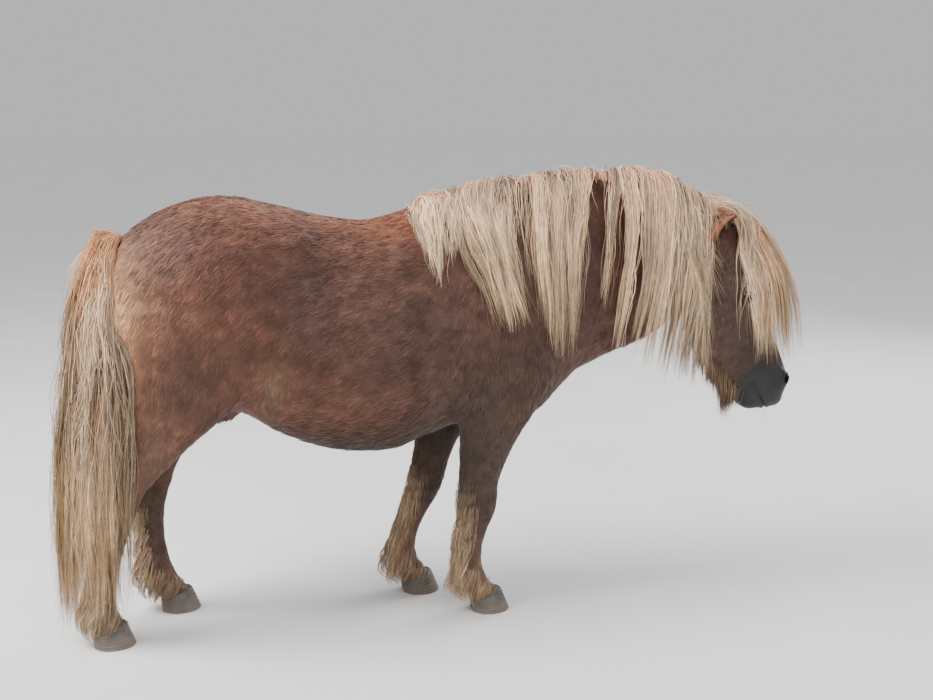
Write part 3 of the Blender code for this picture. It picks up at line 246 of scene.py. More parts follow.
# Finer relief, of the same kind, that only the skin has
FINE_RELIEF = (
    # hip bone, last rib, gaskin groove, seat of the hamstrings and line under the belly
    ((0.012, 0.185, 0.925), (0.022, 0.050, 0.010), 0.005),
    ((0.030, 0.225, 0.700), (0.014, 0.060, 0.120), -0.003),
    ((0.075, 0.235, 0.700), (0.016, 0.060, 0.130), 0.002),
    ((-0.275, 0.200, 0.560), (0.012, 0.050, 0.080), -0.004),
    ((0.100, 0.000, 0.415), (0.180, 0.012, 0.030), 0.003),
    # shoulder blade, arm, elbow and the two heads of the breast
    ((0.470, 0.150, 0.760), (0.016, 0.060, 0.110), -0.004),
    ((0.520, 0.140, 0.680), (0.030, 0.060, 0.040), 0.004),
    ((0.352, 0.170, 0.545), (0.016, 0.040, 0.024), 0.006),
    ((0.585, 0.050, 0.530), (0.040, 0.026, 0.040), 0.006),
    # knees and hocks
    ((0.452, 0.095, 0.285), (0.020, 0.040, 0.018), 0.003),
    ((0.452, 0.095, 0.250), (0.016, 0.040, 0.006), -0.002),
    ((-0.375, 0.110, 0.365), (0.016, 0.040, 0.030), -0.006),
    ((-0.460, 0.105, 0.345), (0.014, 0.040, 0.016), 0.004),
    # brow fold, cheekbone, veins and hollow of the face, corner of the mouth, chin
    ((1.078, 0.085, 0.792), (0.022, 0.030, 0.005), 0.002),
    ((1.084, 0.085, 0.803), (0.022, 0.030, 0.004), -0.0015),
    ((1.136, 0.070, 0.700), (0.008, 0.030, 0.050), 0.0025),
    ((1.150, 0.065, 0.640), (0.020, 0.030, 0.040), -0.003),
    ((1.165, 0.055, 0.590), (0.006, 0.030, 0.040), 0.0015),
    ((1.128, 0.050, 0.540), (0.016, 0.040, 0.010), 0.002),
    ((1.120, 0.000, 0.470), (0.022, 0.030, 0.014), 0.004),
)

# Eyes, nostrils, mouth and ears
EYE_RADIUS = 0.0195
LID_HALF = (0.0180, 0.0112)
LID_TILT = math.radians(-58.0)
LID_SHELL = 0.0030
NOSTRIL_SPOT = (1.237, 0.533)
NOSTRIL_HALF = (0.0082, 0.0145)
NOSTRIL_TILT = math.radians(-30.0)
MOUTH_LINE = ((1.212, 0.428), (1.196, 0.444), (1.182, 0.458), (1.168, 0.482), (1.150, 0.516))
EAR_BASE = Vector((1.004, -0.058, 0.876))
EAR_TIP = Vector((1.060, -0.090, 0.951))
EAR_HALF = 0.0300


def srgb(red, green, blue):
    """A colour of 0 to 255 as linear light."""
    value = np.array((red, green, blue)) / 255.0
    return np.where(value <= 0.04045, value / 12.92, ((value + 0.055) / 1.055) ** 2.4)


# Markings of the coat, with painted sunlight and painted shade among them, the same on skin and tufts: middle in XZ,
# reach, colour and strength
CHESTNUT = srgb(109, 70, 55)
MARKS_AND_PAINTED_LIGHT = (
    # ribs, neck, shoulder and arm, and the belly with painted shade under it
    ((0.26, 0.72), (0.24, 0.18), srgb(94, 68, 59), 0.85),
    ((0.02, 0.80), (0.08, 0.12), srgb(74, 52, 45), 0.80),
    ((0.62, 0.75), (0.22, 0.25), srgb(86, 62, 54), 0.90),
    ((0.44, 0.54), (0.15, 0.14), srgb(74, 58, 48), 0.90),
    ((0.10, 0.43), (0.32, 0.08), srgb(66, 52, 41), 0.90),
    # withers and loin with painted sunlight along them, flank fold, buttock with painted sunlight on it and its rear
    # edge, and thigh
    ((0.24, 0.97), (0.16, 0.045), srgb(148, 86, 52), 0.80),
    ((-0.10, 0.97), (0.14, 0.030), srgb(140, 92, 72), 0.60),
    ((-0.25, 0.91), (0.18, 0.08), srgb(98, 63, 52), 0.75),
    ((-0.065, 0.60), (0.025, 0.055), srgb(120, 104, 78), 0.55),
    ((-0.33, 0.76), (0.07, 0.13), srgb(146, 102, 78), 0.75),
    ((-0.41, 0.72), (0.050, 0.18), srgb(240, 180, 130), 1.0),
    ((-0.24, 0.62), (0.09, 0.09), srgb(84, 61, 52), 0.70),
    # hind and fore limbs, with painted shade on the fore arms under the belly
    ((-0.37, 0.46), (0.09, 0.08), srgb(112, 84, 66), 0.80),
    ((-0.37, 0.22), (0.20, 0.15), srgb(78, 62, 50), 0.95),
    ((0.37, 0.28), (0.20, 0.17), srgb(74, 59, 48), 0.95),
    ((0.38, 0.42), (0.10, 0.08), srgb(64, 52, 43), 0.80),
    ((0.35, 0.08), (0.25, 0.08), srgb(128, 105, 82), 0.75),
    ((-0.38, 0.06), (0.25, 0.06), srgb(108, 91, 73), 0.75),
    # cheek, jaw, side of the nose, painted shade round the eye, and the charcoal muzzle
    ((1.06, 0.72), (0.10, 0.22), srgb(80, 64, 56), 0.95),
    ((1.20, 0.62), (0.07, 0.08), srgb(76, 62, 53), 0.90),
    ((1.08, 0.53), (0.06, 0.05), srgb(64, 52, 42), 0.70),
    ((1.15, 0.65), (0.05, 0.08), srgb(66, 54, 48), 0.80),
    ((1.155, 0.560), (0.055, 0.045), srgb(54, 44, 38), 0.85),
    ((1.100, 0.745), (0.026, 0.030), srgb(44, 37, 34), 0.80),
)
MOTTLE = 0.30
MOTTLE_CELLS = (20.0, 20.0, 30.0)
MUZZLE = (1.198, 0.484)
MUZZLE_REACH = (0.112, 0.104)
CHARCOAL = srgb(36, 36, 38)
LEG_BACK = srgb(180, 148, 110)
# Painted sunlight: the top of the back, where the skin faces up, is painted lighter and redder
PAINTED_SUNLIT_TOP = srgb(146, 84, 56)

# The lie of the coat: a place in XZ and the way the hair points there
LIE = (
    ((0.90, 0.95), (-0.50, -0.85)),
    ((0.75, 0.85), (-0.50, -0.87)),
    ((0.60, 0.92), (-0.60, -0.80)),
    ((0.60, 0.65), (-0.40, -0.92)),
    ((0.45, 0.85), (-0.50, -0.87)),
    ((0.45, 0.60), (-0.25, -0.97)),
    ((0.55, 0.50), (0.00, -1.00)),
    ((0.30, 0.95), (-0.85, -0.50)),
    ((0.20, 0.80), (-0.90, -0.43)),
    ((0.20, 0.60), (-0.93, -0.35)),
    ((0.20, 0.45), (-0.97, -0.20)),
    ((0.05, 0.80), (-0.93, -0.37)),
    ((0.05, 0.55), (-0.90, -0.40)),
    ((0.00, 0.95), (-0.95, -0.30)),
    ((-0.05, 0.75), (-0.75, -0.65)),
    ((-0.08, 0.60), (-0.30, -0.95)),
    ((-0.15, 0.95), (-0.80, -0.60)),
    ((-0.25, 0.85), (-0.66, -0.75)),
    ((-0.35, 0.80), (-0.45, -0.90)),
    ((-0.25, 0.65), (-0.55, -0.83)),
    ((-0.15, 0.62), (-0.40, -0.92)),
    ((-0.35, 0.60), (-0.25, -0.97)),
    ((-0.35, 0.30), (-0.15, -0.99)),
    ((-0.40, 0.12), (-0.20, -0.98)),
    ((0.40, 0.35), (-0.15, -0.99)),
    ((0.38, 0.12), (-0.20, -0.98)),
    ((1.15, 0.80), (0.36, -0.93)),
    ((1.20, 0.62), (0.30, -0.95)),
    ((1.23, 0.50), (0.20, -0.98)),
    ((1.05, 0.75), (0.10, -0.99)),
    ((1.02, 0.62), (-0.25, -0.97)),
    ((1.10, 0.55), (0.10, -0.99)),
    ((1.00, 0.85), (-0.35, -0.94)),
)


def mix(low, high, share):
    return low + (high - low) * share


def smooth(value, start, end):
    """0 before start, 1 after end, and a smooth rise between."""
    t = np.clip((value - start) / (end - start), 0.0, 1.0)
    return t * t * (3.0 - 2.0 * t)


def unit(vectors):
    """Each vector at length 1."""
    return vectors / np.maximum(np.linalg.norm(vectors, axis=-1, keepdims=True), 1e-9)


def bell(points, middle, reach):
    """1 at the middle, falling off over the reach along each axis."""
    off = (points - np.array(middle)) / np.array(reach)
    return np.exp(-(off * off).sum(-1))


def mesh_from(name, points, faces):
    """A mesh of faces with equal counts of corners, moved from the stance frame to the object's."""
    faces = np.asarray(faces, np.int32)
    mesh = bpy.data.meshes.new(name)
    mesh.vertices.add(len(points))
    mesh.vertices.foreach_set("co", (np.asarray(points) + SHIFT).astype(np.float32).ravel())
    mesh.loops.add(faces.size)
    mesh.loops.foreach_set("vertex_index", faces.ravel())
    mesh.polygons.add(len(faces))
    mesh.polygons.foreach_set("loop_start", np.arange(len(faces), dtype=np.int32) * faces.shape[1])
    mesh.update(calc_edges=True)
    return mesh


def show(name, mesh, slot, material, *nodes):
    """Adds the mesh to the scene as a piece that rides on the one body and stands for the nodes."""
    piece = bpy.data.objects.new(name, mesh)
    bpy.context.scene.collection.objects.link(piece)
    mesh.materials.clear()
    mesh.materials.append(material)
    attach(piece, "root")
    if nodes:
        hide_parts(*nodes)
    return piece


def paint(mesh, name, colours):
    """Keeps a colour for each point."""
    rgba = np.ones((len(colours), 4), np.float32)
    rgba[:, :3] = colours
    mesh.color_attributes.new(name, "FLOAT_COLOR", "POINT").data.foreach_set("color", rgba.ravel())


def write_uv(mesh, corners):
    mesh.uv_layers.new(name="OFBake").data.foreach_set("uv", corners.astype(np.float32).ravel())


def spline_rows(rows, steps):
    """The rows with steps - 1 more between each two, on a Catmull-Rom curve through them."""
    rows = np.array(rows, float)
    padded = np.vstack([2 * rows[0] - rows[1], rows, 2 * rows[-1] - rows[-2]])
    made = []
    for before, start, end, after in zip(padded, padded[1:], padded[2:], padded[3:]):
        for t in np.arange(steps) / steps:
            bend = (2 * before - 5 * start + 4 * end - after) * t * t
            twist = (3 * start - before - 3 * end + after) * t**3
            made.append(start + 0.5 * ((end - before) * t + bend + twist))
    made.append(rows[-1])
    return np.array(made)


def upright_ring(row, count):
    """A section through its top and bottom points and across the midline."""
    top_x, top_z, low_x, low_z, half, waist, upper, lower = row
    top = np.array((top_x, 0.0, top_z))
    low = np.array((low_x, 0.0, low_z))
    middle = low + (top - low) * waist
    ring = []
    for turn in np.arange(count) * math.tau / count:
        c, s = math.cos(turn), math.sin(turn)
        power = 2.0 / (upper if s > 0 else lower)
        reach = (top - middle) if s > 0 else (low - middle)
        side = math.copysign(abs(c) ** power, c) * half
        ring.append(middle + reach * abs(s) ** power + np.array((0.0, side, 0.0)))
    return ring


def level_ring(row, side, count):
    """A level section of a leg."""
    x, out, z, length, width = row
    turns = np.arange(count) * math.tau / count
    return [np.array((x + length * math.cos(t), side * out + width * math.sin(t), z)) for t in turns]


def round_ring(row, before, after, count):
    """A round section of the dock, square to the way from one row to another."""
    along = unit(after[:3] - before[:3])
    across = np.array((0.0, 1.0, 0.0))
    back = np.cross(along, across)
    turns = np.arange(count) * math.tau / count
    return [row[:3] + (across * math.sin(t) + back * math.cos(t)) * row[3] for t in turns]


def add_loft(work, rings):
    """A closed skin through rings of equal count, capped at both ends."""
    rows = [[work.verts.new(p) for p in ring] for ring in rings]
    faces = [work.faces.new(rows[0]), work.faces.new(rows[-1])]
    for lower, upper in zip(rows, rows[1:]):
        for i in range(len(lower)):
            j = i - 1
            faces.append(work.faces.new((lower[i], lower[j], upper[j], upper[i])))
    bmesh.ops.recalc_face_normals(work, faces=faces)


def arrays(mesh):
    """The mesh's points, normals and edges."""
    points = np.empty(len(mesh.vertices) * 3, np.float32)
    normals = np.empty(len(mesh.vertices) * 3, np.float32)
    edges = np.empty(len(mesh.edges) * 2, np.int32)
    mesh.vertices.foreach_get("co", points)
    mesh.vertex_normals.foreach_get("vector", normals)
    mesh.edges.foreach_get("vertices", edges)
    return points.reshape(-1, 3).astype(float), normals.reshape(-1, 3).astype(float), edges.reshape(-1, 2)


def put_points(mesh, points):
    mesh.vertices.foreach_set("co", points.astype(np.float32).ravel())
    mesh.update()


def settle(mesh, rounds, where=None):
    """Smooths the mesh and keeps its volume, by a step in and a smaller step out each round."""
    points, _, edges = arrays(mesh)
    ends = np.concatenate([edges[:, 0], edges[:, 1]])
    others = np.concatenate([edges[:, 1], edges[:, 0]])
    counts = np.maximum(np.bincount(ends, minlength=len(points)), 1)[:, None]
    amount = 1.0 if where is None else where(points)[:, None]
    for _ in range(rounds):
        for share in (0.55, -0.57):
            pulled = [np.bincount(ends, points[others, axis], len(points)) for axis in range(3)]
            points += amount * share * (np.stack(pulled, 1) / counts - points)
    put_points(mesh, points)


def raise_relief(mesh, table):
    """Lifts and sinks the skin along its normals, on both sides."""
    points, normals, _ = arrays(mesh)
    rise = np.zeros(len(points))
    for middle, reach, height in table:
        for side in (1,) if middle[1] == 0 else (-1, 1):
            rise += height * bell(points, (middle[0], side * middle[1], middle[2]), reach)
    put_points(mesh, points + normals * rise[:, None])


def remeshed(mesh, voxel):
    """The mesh as one closed skin of even quads."""
    item = bpy.data.objects.new("one_skin", mesh)
    bpy.context.scene.collection.objects.link(item)
    remesh = item.modifiers.new("one_skin", "REMESH")
    remesh.mode = "VOXEL"
    remesh.voxel_size = voxel
    bpy.context.view_layer.update()
    graph = bpy.context.evaluated_depsgraph_get()
    made = bpy.data.meshes.new_from_object(item.evaluated_get(graph))
    bpy.data.objects.remove(item)
    return made


def refine(mesh, inside):
    """Splits the faces whose points are all inside the region into four."""
    points, _, edges = arrays(mesh)
    chosen = inside(points)
    picked = chosen[edges].all(1)
    work = bmesh.new()
    work.from_mesh(mesh)
    work.edges.ensure_lookup_table()
    bmesh.ops.subdivide_edges(
        work, edges=[work.edges[i] for i in np.flatnonzero(picked)], cuts=1, use_grid_fill=True
    )
    bmesh.ops.triangulate(work, faces=[f for f in work.faces if len(f.verts) > 4])
    work.to_mesh(mesh)
    work.free()


def near_any(points, spots, reach):
    """Which points lie within reach of any of the spots."""
    found = np.zeros(len(points), bool)
    for spot in spots:
        found |= ((points - np.array(spot)) ** 2).sum(1) < reach * reach
    return found


def tree_of(mesh, walls=()):
    """A search tree of the mesh, and of walls that are given as points and faces."""
    points = [v.co for v in mesh.vertices]
    faces = [tuple(p.vertices) for p in mesh.polygons]
    for more, more_faces in walls:
        faces += [tuple(i + len(points) for i in face) for face in more_faces]
        points += [Vector(p) for p in more]
    return BVHTree.FromPolygons(points, faces)


def side_hit(tree, x, z, side):
    """Where a level line from one side meets the skin, and the way out there."""
    point, normal, _, _ = tree.ray_cast(Vector((x, side * 0.5, z)), Vector((0.0, -side, 0.0)))
    return np.array(point), np.array(normal)


def face_axes(normal, tilt):
    """Two axes in the skin's plane, the first turned by tilt from level ahead."""
    ahead = np.array((1.0, 0.0, 0.0))
    ahead = unit(ahead - normal * ahead.dot(normal))
    up = np.cross(normal, ahead)
    if up[2] < 0:
        up = -up
    return ahead * math.cos(tilt) + up * math.sin(tilt), up * math.cos(tilt) - ahead * math.sin(tilt)


def eye_place(name):
    """The middle of an eyeball of the solids, in the stance frame."""
    low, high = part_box(name)
    return np.array((low + high) / 2) - SHIFT


def open_eye(points, middle, normal):
    """Opens the lids over the eyeball: the points near it, moved along the way out."""
    long_way, short_way = face_axes(normal, LID_TILT)
    off = points - middle
    u, v, w = off @ long_way, off @ short_way, off @ normal
    near = (u * u + v * v < 0.040**2) & (w > -0.004)
    u, v, w = u[near], v[near], w[near]
    flat = u * u + v * v
    rho = ((np.abs(u) / LID_HALF[0]) ** 1.5 + (np.abs(v) / LID_HALF[1]) ** 2.0) ** (1 / 1.8)
    edge = (rho - 1.0) * LID_HALF[1]
    ball = np.sqrt(np.maximum(EYE_RADIUS**2 - flat, 0.00001))
    shell = np.sqrt(np.maximum((EYE_RADIUS + LID_SHELL) ** 2 - flat, 0.00002))
    lid = mix(ball + 0.0004, shell, smooth(edge, 0.0, 0.0022))
    upper = v > 0
    crease = 0.0016 * np.exp(-(((edge - 0.0075) / 0.0014) ** 2)) * np.where(upper, 1.0, 0.5)
    crease += 0.0010 * np.exp(-(((edge - 0.0125) / 0.0013) ** 2)) * np.where(upper, 1.0, 0.3)
    bulge = 0.0016 * np.exp(-(((edge - 0.0045) / 0.0022) ** 2)) * np.where(upper, 1.0, 0.4)
    around = mix(lid, w, smooth(edge, 0.0040, 0.0170)) + bulge - crease
    inner = mix(ball - 0.0060, ball + 0.0002, smooth(edge, -0.0016, 0.0))
    points[near] += ((np.where(edge < 0.0, inner, around) - w)[:, None]) * normal


def open_nostril(points, spot, normal, side):
    """Sinks the nostril as a comma, with a soft raised rim."""
    long_way, short_way = face_axes(normal, NOSTRIL_TILT)
    off = points - spot
    u, v, w = off @ long_way, off @ short_way, off @ normal
    near = (u * u + v * v < 0.034**2) & (w > -0.03) & (side * points[:, 1] > 0.004)
    u, v = u[near], v[near]
    bent = u - 0.010 * (v / NOSTRIL_HALF[1]) ** 2 * 0.45
    rho = np.sqrt((bent / NOSTRIL_HALF[0]) ** 2 + (v / NOSTRIL_HALF[1]) ** 2)
    edge = (rho - 1.0) * NOSTRIL_HALF[0]
    rim = 0.0026 * np.exp(-(((edge - 0.0020) / 0.0026) ** 2))
    fold = -0.0012 * np.exp(-(((edge - 0.0075) / 0.0018) ** 2)) * (u < 0)
    depth = -0.0125 * (1.0 - smooth(rho, 0.55, 1.05))
    points[near] += (rim + fold + depth)[:, None] * normal


def part_lips(points, normals):
    """The slit of the mouth, on both sides and round the front, with full lips beside it."""
    line = spline_rows(MOUTH_LINE, 8)
    flat = points[:, (0, 2)]
    near = (points[:, 0] > 1.125) & (points[:, 2] < 0.545)
    away = np.full(len(points), 1.0)
    share = np.zeros(len(points))
    for i, (start, end) in enumerate(zip(line, line[1:])):
        along = end - start
        t = np.clip(((flat[near] - start) @ along) / along.dot(along), 0, 1)
        gap = np.linalg.norm(flat[near] - start - t[:, None] * along, axis=1)
        closer = gap < away[near]
        index = np.flatnonzero(near)[closer]
        away[index] = gap[closer]
        share[index] = (i + t[closer]) / (len(line) - 1)
    depth = 0.0042 * np.exp(-((away / 0.0018) ** 2)) * (1.0 - 0.6 * smooth(share, 0.75, 1.0))
    lips = 0.0020 * np.exp(-(((away - 0.0060) / 0.0035) ** 2))
    points += normals * (lips - depth)[:, None]


def coat_depth(points):
    """How far the skin lies inside the solids, to leave room for the coat."""
    head = smooth(points[:, 0], 1.00, 1.12)
    low = 1.0 - smooth(points[:, 2], 0.03, 0.10)
    return mix(mix(0.0042, 0.0016, head), 0.0010, low)


def make_skin():
    """The whole body as one skin, with lids, nostrils and lips."""
    work = bmesh.new()
    add_loft(work, [upright_ring(r, 40) for r in spline_rows(TRUNK, 4)])
    add_loft(work, [upright_ring(r, 40) for r in spline_rows(HEAD, 4)])
    for _, rows, side in LEGS:
        add_loft(work, [level_ring(r, side, 28) for r in spline_rows(rows, 4)])
    dock = spline_rows(DOCK, 3)
    spans = zip(dock, np.vstack([dock[:1], dock[:-1]]), np.vstack([dock[1:], dock[-1:]]))
    add_loft(work, [round_ring(row, before, after, 20) for row, before, after in spans])
    for middle, half in MASSES.values():
        for side in (-1, 1):
            place = Matrix.Translation((middle[0], side * middle[1], middle[2]))
            size = Matrix.Diagonal((*half, 1.0))
            bmesh.ops.create_uvsphere(work, u_segments=32, v_segments=16, radius=1.0, matrix=place @ size)
    rough = bpy.data.meshes.new("rough")
    work.to_mesh(rough)
    work.free()
    mesh = remeshed(rough, VOXEL)
    settle(mesh, 14)
    raise_relief(mesh, RELIEF)
    settle(mesh, 3)

    tree = tree_of(mesh)
    eyes, nostrils = [], []
    for side, word in ((-1, "right"), (1, "left")):
        middle = eye_place("eye_" + word)
        point, normal, _, _ = tree.find_nearest(Vector(middle))
        eyes.append((middle, unit(np.array(point) - middle)))
        nostrils.append((*side_hit(tree, *NOSTRIL_SPOT, side), side))
    refine(mesh, lambda p: (p[:, 0] > 0.985) & (p[:, 2] < 1.0))
    lips = [(x, side * 0.03, z) for x, z in MOUTH_LINE for side in (-1, 0, 1)]
    spots = [e[0] + e[1] * 0.012 for e in eyes]
    refine(mesh, lambda p: near_any(p, spots, 0.034))
    refine(mesh, lambda p: near_any(p, [n[0] for n in nostrils], 0.026) | near_any(p, lips, 0.020))
    settle(mesh, 2)
    raise_relief(mesh, FINE_RELIEF)
    points, normals, _ = arrays(mesh)
    part_lips(points, normals)
    for spot, normal, side in nostrils:
        open_nostril(points, spot, normal, side)
    keep = sum(bell(points, spot, (0.020, 0.020, 0.020)) for spot in spots)
    points -= normals * (coat_depth(points) * (1.0 - np.clip(keep, 0, 1)))[:, None]
    for middle, normal in eyes:
        open_eye(points, middle, normal)
    put_points(mesh, points)
    return mesh, eyes, nostrils


def muzzle_share(points):
    """1 on the charcoal muzzle, falling to 0 on the face."""
    off = (points[:, (0, 2)] - np.array(MUZZLE)) / np.array(MUZZLE_REACH)
    return 1.0 - smooth(np.sqrt((off * off).sum(1)), 0.62, 1.10)


def mottle(points):
    """Patches a little lighter and a little darker than the coat round them."""
    return np.array([fractal(Vector(place), 1.0, 2.0, 3) for place in points * MOTTLE_CELLS])


def coat_colour(points, normals):
    """The coat's base colour at each point: its markings, with painted sunlight along the top and painted shade under
    the belly and round the eyes.
    """
    colour = np.tile(CHESTNUT, (len(points), 1))
    flat = points[:, (0, 2)]
    # Painted sunlight along the top of the back, where the skin faces up
    top = smooth(normals[:, 2], 0.75, 1.0) * smooth(points[:, 2], 0.90, 0.95)
    colour = mix(colour, PAINTED_SUNLIT_TOP, (0.6 * top)[:, None])
    # Markings, with painted sunlight on withers, loin and buttock and painted shade under the belly, on the fore arms
    # and round the eyes
    for middle, reach, mark_and_light_colour, strength in MARKS_AND_PAINTED_LIGHT:
        colour = mix(colour, mark_and_light_colour, (strength * bell(flat, middle, reach))[:, None])
    colour = mix(colour, CHARCOAL, muzzle_share(points)[:, None])
    low = 1.0 - smooth(points[:, 2], 0.22, 0.36)
    back = smooth(-normals[:, 0], 0.2, 0.9)
    colour = mix(colour, LEG_BACK, (0.8 * low * back)[:, None])
    return colour * (1.0 + MOTTLE * mottle(points))[:, None]


def lie_of(points, normals):
    """The way the coat lies at each point, in the plane of the skin."""
    total = np.zeros((len(points), 3))
    for place, way in LIE:
        off = points[:, (0, 2)] - np.array(place)
        weight = 1.0 / ((off * off).sum(1) + 0.003) ** 2
        total += weight[:, None] * np.array((way[0], 0.0, way[1]))
    total = unit(total)
    flat = total - normals * (total * normals).sum(1, keepdims=True)
    return unit(flat)


def coat_length(points, normals):
    """The length of the coat's tufts: short on face and feet, long under belly, jaw and legs."""
    x, z = points[:, 0], points[:, 2]
    length = np.full(len(points), 0.0200)
    length = mix(length, 0.0250, smooth(-normals[:, 2], 0.2, 0.8) * (z > 0.35))
    length = mix(length, 0.0115, 1.0 - smooth(z, 0.30, 0.50))
    rear = smooth(-normals[:, 0], 0.0, 0.7) * (1.0 - smooth(z, 0.30, 0.42))
    length = mix(length, 0.0200, rear)
    length = mix(length, 0.0070, 1.0 - smooth(z, 0.04, 0.07))
    length = mix(length, 0.0240, bell(points[:, (0, 2)], (0.345, 0.47), (0.05, 0.05)))
    length = mix(length, 0.0240, bell(points[:, (0, 2)], (-0.07, 0.58), (0.04, 0.07)))
    face = smooth(x, 1.00, 1.10)
    muzzle = bell(points[:, (0, 2)], (1.19, 0.49), (0.10, 0.075))
    length = mix(length, 0.0095, face)
    length = mix(length, 0.0220, bell(points[:, (0, 2)], (1.03, 0.57), (0.05, 0.06)))
    return mix(length, 0.0035, muzzle)


def triangles_of(mesh):
    """The corners of the mesh's triangles as an array."""
    mesh.calc_loop_triangles()
    corners = np.empty(len(mesh.loop_triangles) * 3, np.int32)
    mesh.loop_triangles.foreach_get("vertices", corners)
    return corners.reshape(-1, 3)


def scatter(rng, points, normals, corners, weight, count):
    """Random places on the skin, denser where the weight of a triangle is greater."""
    a, b, c = (points[corners[:, k]] for k in range(3))
    area = np.linalg.norm(np.cross(b - a, c - a), axis=1)
    chance = area * weight
    picked = rng.choice(len(corners), count, p=chance / chance.sum())
    r1, r2 = np.sqrt(rng.random(count)), rng.random(count)
    shares = np.stack([1 - r1, r1 * (1 - r2), r1 * r2], 1)
    places = (points[corners[picked]] * shares[:, :, None]).sum(1)
    ways = unit((normals[corners[picked]] * shares[:, :, None]).sum(1))
    return places, ways


def cylinder_uv(points, start, end):
    """An unwrap of a limb or trunk round the line from start to end."""
    start, end = np.array(start), np.array(end)
    axis = unit(end - start)
    off = points - start
    along = off @ axis
    across = np.array((0.0, 1.0, 0.0))
    third = np.cross(axis, across)
    return np.stack([along, np.arctan2(off @ across, off @ third) * 0.2], 1)


def leg_uv(points):
    """The four legs' unwraps, each round its own middle line and in its own quarter."""
    made = np.zeros((len(points), 2))
    for i, (_, rows, side) in enumerate(LEGS):
        mine = (side * points[:, 1] > 0) & ((points[:, 0] > 0) == (i < 2))
        table = np.array(rows)[::-1]
        x = np.interp(points[mine, 2], table[:, 2], table[:, 0])
        y = side * np.interp(points[mine, 2], table[:, 2], table[:, 1])
        turn = np.arctan2(points[mine, 1] - y, points[mine, 0] - x)
        made[mine, 0] = turn / math.tau + 1.1 * i
        made[mine, 1] = points[mine, 2]
    return made


def fit_uv(places):
    """Scales the roots' places to fill the map, short of its rim."""
    low, high = places.min(0), places.max(0)
    return 0.01 + 0.975 * (places - low) / np.maximum(high - low, 1e-6)


def gather(rng, roots, share):
    """For each root, one of the few near it round which the tufts gather."""
    chosen = rng.choice(len(roots), max(8, int(len(roots) * share)), replace=False)
    tree = KDTree(len(chosen))
    for number, index in enumerate(chosen):
        tree.insert(roots[index], number)
    tree.balance()
    return chosen[[tree.find(root)[1] for root in roots]]


def tufts(name, rng, roots, normals, lie, length, width, lift, colours, uv):
    """Short flat tufts, each a thin blade of three triangles that leans to its clump's tip."""
    count = len(roots)
    heads = gather(rng, roots, 1 / 14)
    turn = (rng.normal(0.0, 0.10, count)[heads] + rng.normal(0.0, 0.10, count))[:, None]
    side = np.cross(normals, lie)
    way = unit(lie * np.cos(turn) + side * np.sin(turn))
    across = np.cross(normals, way)
    roll = rng.normal(0.0, 0.25, count)[:, None]
    across = across * np.cos(roll) + normals * np.sin(roll)
    length = (length * rng.uniform(0.8, 1.2, count)[heads] * rng.uniform(0.8, 1.2, count))[:, None]
    width = (width * rng.uniform(0.7, 1.3, count))[:, None]
    rise = np.sin(lift * rng.uniform(0.5, 1.4, count)[heads])[:, None]
    base = roots - normals * 0.0008
    tip = base + way * length + normals * length * rise
    tip = mix(tip, tip[heads], 0.22)
    middle = mix(base, tip, 0.5) + normals * length * rise * 0.25
    points = np.stack([
        base + across * width * 0.35, base - across * width * 0.35,
        middle + across * width * 0.5, middle - across * width * 0.5, tip,
    ], 1)
    faces = np.array(((0, 1, 3), (0, 3, 2), (2, 3, 4)))
    faces = faces[None] + 5 * np.arange(count)[:, None, None]
    mesh = mesh_from(name, points.reshape(-1, 3), faces.reshape(-1, 3))
    shade = np.exp(rng.normal(0.0, 0.10, count)[heads] + rng.normal(0.0, 0.11, count))[:, None]
    # Each tuft is painted darker at its root and lighter at its tip: painted shade down in the coat and painted light
    # on the tips
    tone = shade * np.array((0.86, 0.86, 1.0, 1.0, 1.10))[None]
    paint(mesh, "tint", (colours[:, None] * tone[:, :, None]).reshape(-1, 3))
    patch = np.array(((-0.001, 0), (0.001, 0), (-0.0015, 0.0015), (0.0015, 0.0015), (0, 0.003)))
    corners = (fit_uv(uv)[:, None] + patch[None]).reshape(-1, 2)
    write_uv(mesh, corners[faces.reshape(-1)])
    soft = unit(normals + across * rng.normal(0.0, 0.22, count)[:, None] - way * 0.15)
    mesh.polygons.foreach_set("use_smooth", np.ones(3 * count, bool))
    mesh.normals_split_custom_set_from_vertices(np.repeat(soft, 5, axis=0))
    return mesh


def cleared(tree, point, clear):
    """The point, moved out of the skin until it clears it, and the way out there."""
    near, normal, _, gap = tree.find_nearest(Vector(point))
    off = (Vector(point) - near).dot(normal)
    inside = off < -0.5 * gap and gap < REACH_IN
    if inside or gap < clear:
        point = np.array(near + normal * clear)
    return point, np.array(normal)


def guide(tree, knots, clear, count, core=None):
    """The middle line of a lock through its knots, outside the skin, and the way out at each point.

    The way out is the skin's own, or level and away from the core where one is given.
    """
    line = spline_rows(knots, 8)
    along = np.concatenate([[0.0], np.cumsum(np.linalg.norm(np.diff(line, axis=0), axis=1))])
    even = along[-1] * np.linspace(0.0, 1.0, count) ** 1.25
    path = np.stack([np.interp(even, along, line[:, axis]) for axis in range(3)], 1)
    outs = np.zeros_like(path)
    for i, point in enumerate(path):
        moved, outs[i] = cleared(tree, point, clear)
        if i > 0:
            path[i] = moved
    path[2:-1] = (path[1:-2] + 2 * path[2:-1] + path[3:]) / 4
    if core is not None:
        middle = [np.interp(-path[:, 2], -core[:, 2], core[:, axis]) for axis in range(2)]
        outs = np.column_stack([path[:, 0] - middle[0], path[:, 1] - middle[1], np.zeros(count)])
        outs = unit(outs + 1e-6)
    ways = unit(np.gradient(path, axis=0))
    outs -= ways * (outs * ways).sum(1, keepdims=True)
    for i in np.flatnonzero(np.linalg.norm(outs, axis=1) < 0.35):
        outs[i] = outs[i - 1] if i else outs[i]
    for _ in range(3):
        outs[1:-1] = (outs[:-2] + outs[1:-1] * 2 + outs[2:]) / 4
    return path, unit(outs)


